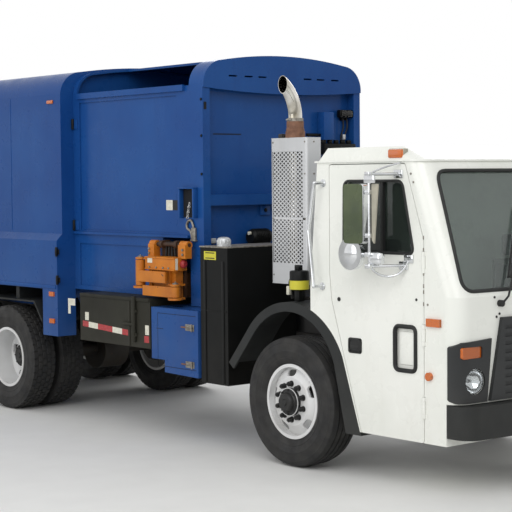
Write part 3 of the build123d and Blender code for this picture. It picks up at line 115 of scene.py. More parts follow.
def bar(name, start, end, radius, around=20, bevel=0.0, endRadius=None):
    start, end = Vector(start), Vector(end)
    run = end - start
    turn = run.to_track_quat("Z", "Y").to_euler()
    bpy.ops.object.select_all(action="DESELECT")
    bpy.ops.mesh.primitive_cone_add(vertices=around, radius1=radius, depth=run.length, rotation=turn,
                                    radius2=radius if endRadius is None else endRadius,
                                    location=(start + end) / 2)
    piece = settle(bpy.context.object, name)
    if bevel:
        way = run.normalized()

        def onRim(first, second):
            return abs((second - first).normalized().dot(way)) < 0.3
        selectWhere(piece, edgeTest=onRim)
        bpy.ops.mesh.bevel(offset=bevel, segments=2, affect="EDGES")
        leaveEdit()
    return piece


def drawLine(name, spots):      # an open line of edges, left in edit mode with all of it selected
    bpy.ops.object.select_all(action="DESELECT")
    bpy.ops.mesh.primitive_plane_add(size=0.01, location=spots[0])
    piece = settle(bpy.context.object, name)
    editAll(piece)
    bpy.ops.mesh.merge(type="CENTER")
    for here, there in zip(spots, spots[1:]):
        bpy.ops.mesh.extrude_vertices_move(TRANSFORM_OT_translate={"value": there - here})
    bpy.ops.mesh.select_all(action="SELECT")
    return piece


def turned(name, profile, centre, axis=(0, 1, 0), out=(1, 0, 0), steps=64):
    # profile rows are (along the axis, radius), and the line through them is spun
    axis, out, centre = Vector(axis), Vector(out), Vector(centre)
    piece = drawLine(name, [centre + axis * along + out * radius for along, radius in profile])
    bpy.ops.mesh.spin(steps=steps, angle=2 * math.pi, center=centre, axis=axis)
    bpy.ops.mesh.select_all(action="SELECT")
    bpy.ops.mesh.remove_doubles(threshold=0.00005)
    bpy.ops.mesh.normals_make_consistent(inside=False)
    leaveEdit()
    return piece


def plate(name, outline, depth, bevel=0.0):      # outline points in space, pushed along depth
    piece = drawLine(name, [Vector(point) for point in outline])
    bpy.ops.mesh.edge_face_add()
    bpy.ops.mesh.select_all(action="SELECT")
    bpy.ops.mesh.extrude_region_move(TRANSFORM_OT_translate={"value": Vector(depth)})
    bpy.ops.mesh.select_all(action="SELECT")
    bpy.ops.mesh.normals_make_consistent(inside=False)
    if bevel:
        bpy.ops.mesh.bevel(offset=bevel, segments=2, affect="EDGES")
    leaveEdit()
    return piece


def tube(name, points, radius, closed=False, smooth=False, around=5):
    bpy.ops.object.select_all(action="DESELECT")
    bpy.ops.curve.primitive_nurbs_path_add(radius=1, location=(0, 0, 0))
    piece = bpy.context.object
    curve = piece.data
    curve.splines.clear()
    spline = curve.splines.new("NURBS" if smooth else "POLY")
    spline.points.add(len(points) - 1)
    for spot, point in zip(spline.points, points):
        spot.co = (*point, 1)
    spline.use_cyclic_u = closed
    if smooth:
        spline.use_endpoint_u = not closed
        spline.order_u = 3
        curve.resolution_u = 8
    curve.bevel_depth = radius
    curve.bevel_resolution = around
    curve.use_fill_caps = True
    pick(piece)
    bpy.ops.object.convert(target="MESH")
    return settle(bpy.context.object, name)


def copied(piece, name, offset):
    pick(piece)
    bpy.ops.object.duplicate()
    twin = bpy.context.object
    twin.location = offset
    return settle(twin, name)


def mirrorY(piece, name):      # the same piece on the other side of the truck
    pick(piece)
    bpy.ops.object.duplicate()
    twin = bpy.context.object
    twin.scale = (1, -1, 1)
    settle(twin, name)
    editAll(twin)
    bpy.ops.mesh.normals_make_consistent(inside=False)
    leaveEdit()
    return twin


def joined(name, pieces):
    bpy.ops.object.select_all(action="DESELECT")
    for piece in pieces:
        piece.select_set(True)
    bpy.context.view_layer.objects.active = pieces[0]
    if len(pieces) > 1:
        bpy.ops.object.join()
    return settle(bpy.context.object, name)


def dress(piece, body, finishName, smooth=35):      # material, shading and body
    piece.data.materials.clear()
    piece.data.materials.append(finishes[finishName])
    pick(piece)
    bpy.ops.object.shade_smooth_by_angle(angle=math.radians(smooth))
    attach(piece, body)
    return piece


def rounded(corners, radius, steps=6):      # a closed outline in X and Z with round corners
    outline = []
    count = len(corners)
    for index in range(count):
        before, here, after = (Vector(corners[(index + shift) % count]) for shift in (-1, 0, 1))
        first = here + (before - here).normalized() * radius
        last = here + (after - here).normalized() * radius
        for step in range(steps + 1):
            part = step / steps
            outline.append(first.lerp(here, part).lerp(here.lerp(last, part), part))
    return outline


def at(ahead, y, z):      # a place counted from the front axle
    return (axleX + ahead, y, z)


def slab(name, ahead, across, up, bevel=0.003, segments=2):      # a block; each pair in either order
    spans = ([axleX + value for value in ahead], across, up)
    return block(name, [min(pair) for pair in spans], [max(pair) for pair in spans], bevel, segments)


def boltHead(spot, way, radius, length):      # a bolt head or boss that stands up along way
    way = Vector(way)
    return bar("boltHead", Vector(spot) - way * 0.002, Vector(spot) + way * length, radius, 6,
               min(radius, length) * 0.2)


def ring(low, high, inner, outer, centre, axis=(0, 0, 1), out=(1, 0, 0), steps=40):
    # a band round an axis
    profile = [(low, inner), (low, outer), (high, outer), (high, inner)]
    return turned("ring", profile, centre, axis, out, steps)


def slabs(rows, x=0.0, y=0.0, z=0.0, way=1):
    # a slab for each row of (ahead, across, up, bevel, segments), counted from x, y and z
    return [slab("part", [x + value for value in ahead], [way * (y + value) for value in across],
                 [z + value for value in up], *rest) for ahead, across, up, *rest in rows]


def bars(rows, x=0.0, y=0.0, z=0.0, way=1):
    # a bar for each row of (start, end, radius, around, bevel), counted the same way
    def spot(place):
        return at(x + place[0], way * (y + place[1]), z + place[2])
    return [bar("part", spot(start), spot(end), *rest) for start, end, *rest in rows]


def group(name, finishName, pieces, body="chassis", smooth=35):      # several pieces made one and dressed
    return dress(joined(name, pieces), body, finishName, smooth)


def finely(outline, step=0.05):      # the same closed outline with more points on it
    points = []
    for here, there in zip(outline, outline[1:] + outline[:1]):
        parts = max(1, int((there - here).length / step))
        points += [here.lerp(there, part / parts) for part in range(parts)]
    return points


# Materials

def screenColor(red, green, blue):      # a colour as a screen shows it, 0 to 255
    def linear(value):
        value = value / 255
        return value / 12.92 if value <= 0.04045 else ((value + 0.055) / 1.055) ** 2.4
    return (linear(red), linear(green), linear(blue), 1.0)


def startMaterial(name):
    material = bpy.data.materials.new(name)
    material.use_nodes = True
    tree = material.node_tree
    place = tree.nodes.new("ShaderNodeTexCoord").outputs["Object"]
    return material, tree, tree.nodes["Principled BSDF"], place


def noise(tree, place, scale, detail=3.0, stretch=None):
    if stretch:
        mapping = tree.nodes.new("ShaderNodeMapping")
        mapping.inputs["Scale"].default_value = stretch
        tree.links.new(place, mapping.inputs["Vector"])
        place = mapping.outputs["Vector"]
    node = tree.nodes.new("ShaderNodeTexNoise")
    node.inputs["Scale"].default_value = scale
    node.inputs["Detail"].default_value = detail
    tree.links.new(place, node.inputs["Vector"])
    return node.outputs[0]


def remap(tree, value, low, high, toLow=0.0, toHigh=1.0):
    node = tree.nodes.new("ShaderNodeMapRange")
    for socket, number in zip(node.inputs[1:5], (low, high, toLow, toHigh)):
        socket.default_value = number
    tree.links.new(value, node.inputs[0])
    return node.outputs[0]


def blended(tree, factor, first, second):
    node = tree.nodes.new("ShaderNodeMix")
    node.data_type = "RGBA"
    tree.links.new(factor, node.inputs[0])
    for socket, color in ((node.inputs[6], first), (node.inputs[7], second)):
        if isinstance(color, tuple):
            socket.default_value = color
        else:
            tree.links.new(color, socket)
    return node.outputs[2]


def times(tree, first, second):
    node = tree.nodes.new("ShaderNodeMath")
    node.operation = "MULTIPLY"
    tree.links.new(first, node.inputs[0])
    if isinstance(second, float):
        node.inputs[1].default_value = second
    else:
        tree.links.new(second, node.inputs[1])
    return node.outputs[0]


def height(tree, place):
    split = tree.nodes.new("ShaderNodeSeparateXYZ")
    tree.links.new(place, split.inputs[0])
    return split.outputs[2]


def roughen(tree, shader, value, strength, distance=0.001):
    node = tree.nodes.new("ShaderNodeBump")
    node.inputs["Strength"].default_value = strength
    node.inputs["Distance"].default_value = distance
    tree.links.new(value, node.inputs["Height"])
    tree.links.new(node.outputs["Normal"], shader.inputs["Normal"])


def paint(name, values):
    # color and patch vary slowly, dust gathers below dustTop, chips show the metal
    material, tree, shader, place = startMaterial(name)
    tones = {key: screenColor(*values[key]) for key in ("color", "patch", "dust", "streak", "chip")
             if key in values}
    color = blended(tree, remap(tree, noise(tree, place, values.get("patchScale", 1.4)), 0.35, 0.7),
                    tones["color"], tones["patch"])
    if "dust" in values:
        low = remap(tree, height(tree, place), values["dustLow"], values["dustTop"], 1.0, 0.0)
        cloud = remap(tree, noise(tree, place, 5.0, 6.0), 0.3, 0.75, 0.25, 1.0)
        amount = times(tree, times(tree, low, cloud), values["dustAmount"])
        color = blended(tree, amount, color, tones["dust"])
    if "streak" in values:
        streaks = remap(tree, noise(tree, place, 9.0, 4.0, (1, 1, 0.12)), 0.55, 0.8, 0.0,
                        values["streakAmount"])
        color = blended(tree, streaks, color, tones["streak"])
    if "chip" in values:
        chips = remap(tree, noise(tree, place, values["chipScale"], 8.0), values["chipFrom"],
                      values["chipFrom"] + 0.04)
        color = blended(tree, chips, color, tones["chip"])
    tree.links.new(color, shader.inputs["Base Color"])
    shine = remap(tree, noise(tree, place, 7.0, 5.0), 0.3, 0.7, *values["roughness"])
    tree.links.new(shine, shader.inputs["Roughness"])
    shader.inputs["Metallic"].default_value = values.get("metal", 0.0)
    shader.inputs["Specular IOR Level"].default_value = values.get("specular", 0.4)
    shader.inputs["Coat Weight"].default_value = values.get("coat", 0.0)
    scale, strength = values.get("grain", (160.0, 0.05))
    roughen(tree, shader, noise(tree, place, scale, 2.0), strength)
    return material


def lens(name, color, roughness=0.12, ribs=90.0):      # coloured lamp lens with fine ribs
    material, tree, shader, place = startMaterial(name)
    wave = tree.nodes.new("ShaderNodeTexWave")
    wave.inputs["Scale"].default_value = ribs
    tree.links.new(place, wave.inputs["Vector"])
    dark = tuple(channel * 0.55 for channel in color[:3]) + (1.0,)
    ribbed = blended(tree, remap(tree, wave.outputs[1], 0.2, 0.9), dark, color)
    tree.links.new(ribbed, shader.inputs["Base Color"])
    shader.inputs["Roughness"].default_value = roughness
    shader.inputs["Coat Weight"].default_value = 0.6
    roughen(tree, shader, wave.outputs[1], 0.4, 0.002)
    return material


def tintedGlass(name, color, clear):      # darkened glass with faint smears
    material, tree, shader, place = startMaterial(name)
    shader.inputs["Base Color"].default_value = color
    shader.inputs["Transmission Weight"].default_value = clear
    shader.inputs["IOR"].default_value = 1.45
    smears = remap(tree, noise(tree, place, 3.0, 5.0), 0.4, 0.8, 0.02, 0.09)
    tree.links.new(smears, shader.inputs["Roughness"])
    return material


def polished(name, color, roughness, haze):      # bright metal with darker, hazy patches
    material, tree, shader, place = startMaterial(name)
    shader.inputs["Metallic"].default_value = 1.0
    tint = blended(tree, remap(tree, noise(tree, place, 6.0, 4.0), 0.4, 0.75), color, haze)
    tree.links.new(tint, shader.inputs["Base Color"])
    low, high = roughness
    shine = remap(tree, noise(tree, place, 14.0, 5.0), 0.3, 0.8, low, high)
    tree.links.new(shine, shader.inputs["Roughness"])
    return material


def rubber(name, color, dusty, grain):
    material, tree, shader, place = startMaterial(name)
    cloud = remap(tree, noise(tree, place, 9.0, 7.0), 0.35, 0.8, 0.0, 0.55)
    tree.links.new(blended(tree, cloud, color, dusty), shader.inputs["Base Color"])
    tree.links.new(remap(tree, noise(tree, place, 12.0), 0.3, 0.7, 0.62, 0.85), shader.inputs["Roughness"])
    roughen(tree, shader, noise(tree, place, grain, 4.0), 0.25, 0.0015)
    return material


finishValues = {
    "bodyBlue": {"color": (22, 68, 132), "patch": (29, 78, 142), "dust": (122, 116, 106),
                 "dustTop": 1.7, "dustLow": 0.6, "dustAmount": 0.14, "roughness": (0.24, 0.38), "coat": 0.06,
                 "specular": 0.14,
                 "streak": (20, 50, 110), "streakAmount": 0.25, "grain": (140.0, 0.03)},
    "cabWhite": {"color": (238, 239, 233), "patch": (231, 233, 226), "dust": (160, 152, 136),
                 "dustTop": 1.25, "dustLow": 0.35, "dustAmount": 0.16, "roughness": (0.24, 0.34), "coat": 0.4,
                 "streak": (196, 192, 178), "streakAmount": 0.12, "grain": (140.0, 0.03)},
    "armOrange": {"color": (205, 122, 26), "patch": (182, 102, 20), "dust": (96, 66, 34),
                  "dustTop": 1.9, "dustLow": 1.2, "dustAmount": 0.3, "roughness": (0.42, 0.6),
                  "chipScale": 26.0, "chipFrom": 0.66, "chip": (70, 50, 36), "patchScale": 6.0,
                  "grain": (90.0, 0.12)},
    "boxBlack": {"color": (46, 46, 40), "patch": (38, 38, 33), "dust": (84, 80, 70),
                 "dustTop": 1.3, "dustLow": 0.7, "dustAmount": 0.3, "roughness": (0.42, 0.6),
                 "specular": 0.12, "grain": (110.0, 0.08)},
    "tankBlack": {"color": (20, 21, 21), "patch": (15, 16, 16), "dust": (62, 59, 54),
                  "dustTop": 1.3, "dustLow": 0.5, "dustAmount": 0.2, "roughness": (0.32, 0.48),
                  "specular": 0.14, "grain": (110.0, 0.05)},
    "fenderBlack": {"color": (38, 40, 40), "patch": (32, 34, 34), "dust": (76, 74, 69),
                    "dustTop": 1.1, "dustLow": 0.3, "dustAmount": 0.3, "roughness": (0.5, 0.66),
                    "specular": 0.3, "grain": (420.0, 0.25)},
    "grilleBlack": {"color": (40, 42, 43), "patch": (34, 36, 37), "dust": (86, 84, 80),
                    "dustTop": 1.0, "dustLow": 0.6, "dustAmount": 0.2, "roughness": (0.38, 0.5),
                    "grain": (420.0, 0.15)},
    "chassisBlack": {"color": (34, 34, 33), "patch": (44, 40, 36), "dust": (96, 88, 76),
                     "dustTop": 1.0, "dustLow": 0.2, "dustAmount": 0.5, "roughness": (0.5, 0.7),
                     "chipScale": 30.0, "chipFrom": 0.68, "chip": (92, 60, 40), "grain": (70.0, 0.15)},
    "engineGrey": {"color": (70, 72, 74), "patch": (56, 56, 56), "dust": (80, 70, 56),
                   "dustTop": 1.5, "dustLow": 0.5, "dustAmount": 0.4, "roughness": (0.5, 0.7),
                   "grain": (60.0, 0.25)},
    "wheelWhite": {"color": (226, 227, 228), "patch": (206, 206, 204), "dust": (128, 118, 104),
                   "dustTop": 0.8, "dustLow": 0.1, "dustAmount": 0.3, "roughness": (0.26, 0.42), "coat": 0.3,
                   "streak": (150, 140, 126), "streakAmount": 0.2, "grain": (160.0, 0.05)},
    "guardGrey": {"color": (205, 206, 208), "patch": (188, 190, 192), "roughness": (0.34, 0.48),
                  "metal": 0.35, "streak": (150, 148, 144), "streakAmount": 0.25, "grain": (160.0, 0.06)},
    "aluminium": {"color": (190, 192, 195), "patch": (168, 170, 172), "roughness": (0.3, 0.45),
                  "metal": 0.9, "grain": (220.0, 0.08)},
    "rustSleeve": {"color": (134, 98, 78), "patch": (104, 74, 60), "roughness": (0.6, 0.8),
                   "metal": 0.3, "patchScale": 24.0, "grain": (120.0, 0.3)},
    "castGrey": {"color": (150, 146, 138), "patch": (112, 106, 98), "roughness": (0.45, 0.62),
                 "metal": 0.6, "patchScale": 30.0, "grain": (140.0, 0.3)},
    "packerSteel": {"color": (36, 52, 84), "patch": (66, 62, 58), "roughness": (0.4, 0.7),
                    "chipScale": 12.0, "chipFrom": 0.55, "chip": (96, 84, 74), "grain": (60.0, 0.3)},
    "dashGrey": {"color": (58, 60, 62), "patch": (52, 54, 56), "roughness": (0.6, 0.75),
                 "grain": (500.0, 0.3)},
    "seatCloth": {"color": (52, 54, 60), "patch": (44, 46, 52), "roughness": (0.85, 0.95),
                  "grain": (700.0, 0.5)},
    "labelWhite": {"color": (222, 220, 206), "patch": (206, 202, 186), "roughness": (0.35, 0.5),
                   "patchScale": 30.0, "grain": (200.0, 0.05)},
    "labelYellow": {"color": (206, 198, 60), "patch": (188, 180, 48), "roughness": (0.35, 0.5),
                    "grain": (200.0, 0.05)},
    "tapeRed": {"color": (176, 40, 44), "patch": (150, 34, 38), "roughness": (0.2, 0.34),
                "coat": 0.4, "patchScale": 40.0, "grain": (900.0, 0.2)},
    "gasketBlack": {"color": (26, 27, 27), "patch": (34, 35, 34), "roughness": (0.55, 0.7),
                    "grain": (300.0, 0.1)},
    # painted reflection: the olive on the mirror heads stands for greenery reflected in their bright backs
    "mirrorPaintedReflection": {"color": (74, 86, 52), "patch": (58, 70, 44), "roughness": (0.18, 0.3),
                    "patchScale": 5.0, "coat": 0.4, "grain": (60.0, 0.02)},
    "stripBeige": {"color": (176, 172, 156), "patch": (150, 147, 133), "roughness": (0.3, 0.42),
                   "patchScale": 9.0, "grain": (160.0, 0.04)},
    # painted shade: the orange carriage head is coloured dark brown where it stands in shade; its chips are
    # wear
    "armPaintedShadeAndWear": {"color": (72, 44, 24), "patch": (44, 30, 20), "dust": (80, 56, 34),
                "dustTop": 1.9, "dustLow": 1.2, "dustAmount": 0.3, "roughness": (0.5, 0.7), "chipScale": 22.0,
                "chipFrom": 0.6, "chip": (36, 28, 24), "patchScale": 7.0, "grain": (70.0, 0.2)},
    "hubBlack": {"color": (26, 27, 28), "patch": (38, 37, 35), "roughness": (0.35, 0.55),
                 "patchScale": 20.0, "grain": (200.0, 0.1)},
    "knobRed": {"color": (168, 50, 50), "patch": (140, 38, 40), "roughness": (0.35, 0.5),
                "patchScale": 30.0, "grain": (200.0, 0.05)},
    "rodSteel": {"color": (196, 197, 198), "patch": (150, 148, 142), "roughness": (0.16, 0.3),
                 "metal": 0.9, "patchScale": 16.0, "grain": (300.0, 0.03)},
    "capPale": {"color": (204, 206, 208), "patch": (166, 168, 168), "roughness": (0.3, 0.45),
                "metal": 0.4, "patchScale": 26.0, "grain": (200.0, 0.06)},
    # near-black for real gaps and seams, and as painted shade on the latch pocket's back
    "gapAndShadeDark": {"color": (10, 12, 16), "patch": (14, 16, 20), "roughness": (0.8, 0.9)},
}
finishes = {name: paint(name, values) for name, values in finishValues.items()}
for name, color in (("amber", (226, 112, 24)), ("redLens", (170, 26, 22))):
    finishes[name] = lens(name, screenColor(*color))
for name, color, clear in (("clearLens", (245, 247, 247), 1.0), ("cabGlass", (196, 208, 204), 0.92),
                           ("sideGlass", (92, 102, 98), 0.85)):
    finishes[name] = tintedGlass(name, screenColor(*color), clear)
for name, color, roughness, haze in (("chrome", (222, 224, 226), (0.06, 0.16), (176, 178, 180)),
                                     ("stackChrome", (226, 224, 218), (0.05, 0.14), (140, 132, 112))):
    finishes[name] = polished(name, screenColor(*color), roughness, screenColor(*haze))
for name, dusty, grain in (("tyre", (54, 52, 48), 120.0), ("hose", (52, 50, 48), 260.0)):
    finishes[name] = rubber(name, screenColor(24, 24, 25), screenColor(*dusty), grain)
nodeFinish = {
    "body_blue": "bodyBlue", "cab_white": "cabWhite", "arm_orange": "armOrange", "box_black": "tankBlack",
    "fender_black": "fenderBlack", "grille_black": "grilleBlack", "chassis_black": "chassisBlack",
    "cast_black": "chassisBlack", "engine_grey": "engineGrey", "wheel_white": "wheelWhite",
    "guard_grey": "guardGrey", "tank_aluminium": "aluminium", "packer_steel": "packerSteel",
    "dash_grey": "dashGrey", "seat_cloth": "seatCloth", "lamp_amber": "amber", "lamp_red": "redLens",
    "lamp_clear": "clearLens", "cab_glass": "cabGlass", "handle_chrome": "chrome",
    "mirror_black": "chrome", "exhaust_chrome": "stackChrome", "tyre_rubber": "tyre",
    # arm_dark carries the painted shade on the carriage head
    "cleaner_black": "boxBlack", "arm_black": "chassisBlack", "arm_dark": "armPaintedShadeAndWear",
    "bumper_white": "cabWhite",
}
nodeOwn = {"battery_box": "boxBlack", "door_glass_left": "sideGlass", "door_glass_right": "sideGlass",
           "front_bumper": "fenderBlack"}
for row in frame["record"]["subparts"]:
    chosen = finishes[nodeOwn.get(row["node"], nodeFinish[row["material_slot"]])]
    for matSlot in nodes[row["node"]].material_slots:
        matSlot.material = chosen
print("materials made and given to the CAD nodes")


# Wheels and tyres

tyreLook = {
    "radius": 0.52, "rimEdge": 0.2995, "grooveDepth": 0.011, "steps": 72, "shoulder": 0.012, "grooves": 4,
    "frontWidth": 0.296, "frontY": 1.035, "rearWidth": 0.272, "rearY": (0.748, 1.08), "lugs": 46, "rows": 5,
    "wall": ((0.022, 0.325), (0.012, 0.345), (0.0105, 0.348), (0.0125, 0.352), (0.004, 0.372), (0.001, 0.4),
             (-0.0005, 0.404), (0.001, 0.408), (0.003, 0.44), (0.0075, 0.466), (0.006, 0.470), (0.009, 0.474),
             (0.0135, 0.494)),
}


def tyreProfile(width, ribbed):
    look = tyreLook
    half = width / 2
    shoulder = look["radius"] - look["shoulder"]
    side = [(-0.098, look["rimEdge"] - 0.006), (-0.112, look["rimEdge"] + 0.004)]
    side += [(inward - half, radius) for inward, radius in look["wall"]]
    side.append((0.02 - half, shoulder - 0.003))
    if ribbed:
        reach = half - 0.035
        tread = [(0.027 - half, shoulder)]
        for index in range(look["grooves"]):
            middle = -reach + 2 * reach * (index + 0.75) / (look["grooves"] + 0.5)
            top = look["radius"] - 0.0015 - 0.008 * (abs(middle) / half) ** 2
            bottom = top - look["grooveDepth"]
            tread += [(middle - 0.0075, top), (middle - 0.0045, bottom), (middle + 0.0045, bottom),
                      (middle + 0.0075, top)]
        tread.append((half - 0.027, shoulder))
    else:
        low = look["radius"] - look["grooveDepth"]
        tread = [(0.03 - half, low - 0.006), (-half * 0.5, low - 0.002), (0.0, low),
                 (half * 0.5, low - 0.002), (half - 0.03, low - 0.006)]
    return side + tread + [(-along, radius) for along, radius in reversed(side)]


def treadBlocks(name, width, x, y):      # one row of lugs, repeated round the tyre by a spin
    look = tyreLook
    half = width / 2 - 0.012
    pitch = 2 * math.pi * look["radius"] / look["lugs"]
    rowWidth = 2 * half / look["rows"]
    blocks = []
    for row in range(look["rows"]):
        low = -half + row * rowWidth + 0.004
        middle = low + rowWidth / 2 - 0.004
        crown = axleZ + look["radius"] - 0.0015 - 0.009 * (abs(middle) / half) ** 2
        start = x + (row % 2 - 0.5) * pitch * 0.5
        blocks.append(block("lug", (start - pitch * 0.4, y + low, crown - 0.02),
                            (start + pitch * 0.4, y + low + rowWidth - 0.008, crown - 0.0008), 0.003, 1))
    piece = joined(name, blocks)
    editAll(piece)
    bpy.ops.mesh.spin(steps=look["lugs"], dupli=True, angle=2 * math.pi, center=(x, y, axleZ), axis=(0, 1, 0))
    bpy.ops.mesh.select_all(action="SELECT")
    bpy.ops.mesh.remove_doubles(threshold=0.00005)
    leaveEdit()
    return piece


def rearAxleX(pair, side):
    low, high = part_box(f"rims_rear_{pair}_{side}")
    return (low[0] + high[0]) / 2


def makeTyres():
    look = tyreLook
    for side, way in sides.items():
        tyre = turned(f"steerTyre_{side}", tyreProfile(look["frontWidth"], True),
                      (axleX, way * look["frontY"], axleZ), steps=look["steps"])
        dress(tyre, f"wheel_front_{side}", "tyre", 30)
        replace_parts(tyre, f"tyre_front_{side}")
    first = None
    for pair in ("1", "2"):
        for side, way in sides.items():
            x = rearAxleX(pair, side)
            twins = []
            for y in look["rearY"]:
                if first is None:
                    firstAt = (x, way * y)
                    carcass = turned("carcass", tyreProfile(look["rearWidth"], False), (x, way * y, axleZ),
                                     steps=look["steps"])
                    first = joined("driveTyre", [carcass, treadBlocks("lugs", look["rearWidth"], x, way * y)])
                    twins.append(first)
                else:
                    twins.append(copied(first, "driveTyre", (x - firstAt[0], way * y - firstAt[1], 0)))
            for index, tyre in enumerate(twins):
                tyre.name = f"driveTyre_{pair}_{side}_{index}"
                dress(tyre, f"wheels_rear_{pair}_{side}", "tyre", 30)
            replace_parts(twins[0], f"tyres_rear_{pair}_{side}")


hubLook = {
    "nuts": 10, "circle": 0.143, "nutRadius": 0.021, "nutHeight": 0.042, "flangeRadius": 0.024,
    "studRadius": 0.01,
    "frontFace": 1.147, "rearFace": 0.9145, "coverRadius": 0.1125, "frontHub": 1.185, "rearHub": 1.044,
    "frontCap": 0.045, "rearCap": 0.02, "capBolts": 8, "capCircle": 0.097,
    "valve": ((0.2, 1.1, 0.17), (0.205, 1.135, 0.172), (0.21, 1.155, 0.178)),
}


def wheelTrim(name, x, way, face, hubEnd, cap):
    look = hubLook

    def stick(turn, circle, low, high, *rest):      # a round part across the wheel, at an angle on a circle
        spotX = x + circle * math.cos(turn)
        spotZ = axleZ + circle * math.sin(turn)
        return bar("part", (spotX, way * low, spotZ), (spotX, way * high, spotZ), *rest)

    nuts = []
    nutEnd = face + look["nutHeight"]
    for index in range(look["nuts"]):
        turn = 2 * math.pi * (index + 0.5) / look["nuts"]
        nuts += [stick(turn, look["circle"], face - 0.002, face + 0.006, look["flangeRadius"], 20),
                 stick(turn, look["circle"], face + 0.005, nutEnd, look["nutRadius"], 6, 0.0025,
                       look["nutRadius"] * 0.92),
                 stick(turn, look["circle"], nutEnd - 0.001, nutEnd + 0.009, look["studRadius"], 12, 0.0015)]
    base = hubEnd - 0.03
    capEnd = hubEnd + cap
    outline = [(base, 0.0), (base, look["coverRadius"]), (hubEnd - 0.006, look["coverRadius"]),
               (hubEnd + 0.003, look["coverRadius"] - 0.008), (hubEnd + 0.004, 0.088), (hubEnd + 0.012, 0.08),
               (capEnd - 0.012, 0.076), (capEnd, 0.066), (capEnd + 0.002, 0.03), (capEnd + 0.01, 0.026),
               (capEnd + 0.011, 0.0)]
    cover = turned("cover", [(way * along, radius) for along, radius in outline], (x, 0, axleZ), steps=40)
    bolts = [stick(2 * math.pi * index / look["capBolts"], look["capCircle"], hubEnd - 0.002, hubEnd + 0.011,
                   0.0085, 6, 0.0015) for index in range(look["capBolts"])]
    return joined(name, nuts + [cover] + bolts)


def makeHubs():
    look = hubLook
    for side, way in sides.items():
        trim = wheelTrim(f"frontHubTrim_{side}", axleX, way, look["frontFace"], look["frontHub"],
                         look["frontCap"])
        dress(trim, f"wheel_front_{side}", "hubBlack", 30)
        valve = [(axleX + x, way * y, axleZ + z) for x, y, z in look["valve"]]
        dress(tube(f"valve_{side}", valve, 0.004, smooth=True), f"wheel_front_{side}", "aluminium")
        for pair in ("1", "2"):
            rear = wheelTrim(f"rearHubTrim_{pair}_{side}", rearAxleX(pair, side), way, look["rearFace"],
                             look["rearHub"], look["rearCap"])
            dress(rear, f"wheels_rear_{pair}_{side}", "hubBlack", 30)


makeTyres()
makeHubs()
print("wheels done")


# Exhaust guard with its perforated face

guardLook = {
    "holePitchX": 0.047, "holePitchZ": 0.034, "rim": 0.0094, "low": 1.6, "high": 2.5, "seam": 1.96,
    "bottom": 1.43, "outerY": -0.95, "innerY": -0.8, "stackY": -0.875, "sideMargin": 0.022,
    "frontMargin": 0.052,
    "sheet": 0.003, "wall": 0.004, "corner": 0.02, "bandHalf": 0.009,
    "sleeve": ((2.604, 0.069), (2.612, 0.08), (2.66, 0.08), (2.664, 0.074), (2.682, 0.074), (2.686, 0.07),
               (2.742, 0.07), (2.744, 0.058), (2.604, 0.058), (2.604, 0.069)),
    "clamp": (2.742, 2.768, 0.0585, 0.066), "clampBolt": (0.03, 0.07, 2.755),
    "legY": (-0.85, -0.82), "shelfY": (-0.85, -0.32), "legZ": (1.262, 1.432), "shelfZ": (1.262, 1.322),
    "screws": (1.5, 1.96, 2.32, 2.575), "bracketHalf": 0.05, "lug": (-0.135, -0.9),
}


def makeGuardMesh(lowX, highX):
    # the mesh between plain bands: a grid of diamonds, each inset and opened, in two fields
    look = guardLook
    fields = []
    wide = highX - lowX - look["sideMargin"] - look["frontMargin"]
    for fromZ, toZ in ((look["low"], look["seam"] - 0.008), (look["seam"] + 0.008, look["high"])):
        tall = toZ - fromZ
        cells = int(max(wide / look["holePitchX"], tall / look["holePitchZ"]) * 1.5) + 2
        span = cells * look["holePitchX"] / math.sqrt(2)
        bpy.ops.object.select_all(action="DESELECT")
        bpy.ops.mesh.primitive_grid_add(x_subdivisions=cells, y_subdivisions=cells, size=span,
                                        rotation=(0, 0, math.radians(45)))
        field = settle(bpy.context.object, "guardField")
        field.scale = (1, look["holePitchZ"] / look["holePitchX"], 1)
        settle(field, "guardField")
        editAll(field)
        bpy.ops.mesh.inset(thickness=look["rim"] * 0.5, use_individual=True)
        bpy.ops.mesh.delete(type="FACE")
        for point, normal in (((-wide / 2, 0, 0), (-1, 0, 0)), ((wide / 2, 0, 0), (1, 0, 0)),
                              ((0, -tall / 2, 0), (0, -1, 0)), ((0, tall / 2, 0), (0, 1, 0))):
            bpy.ops.mesh.select_all(action="SELECT")
            bpy.ops.mesh.bisect(plane_co=point, plane_no=normal, clear_outer=True)
        leaveEdit()
        field.rotation_euler = (math.radians(90), 0, 0)
        field.location = ((lowX + highX) / 2 - 0.008, look["outerY"] + 0.0015, (fromZ + toZ) / 2)
        fields.append(settle(field, "guardField"))
    mesh = joined("guardMesh", fields)
    thick = mesh.modifiers.new("thickness", "SOLIDIFY")
    thick.thickness = look["sheet"]
    pick(mesh)
    bpy.ops.object.modifier_apply(modifier="thickness")
    dress(mesh, "chassis", "guardGrey")


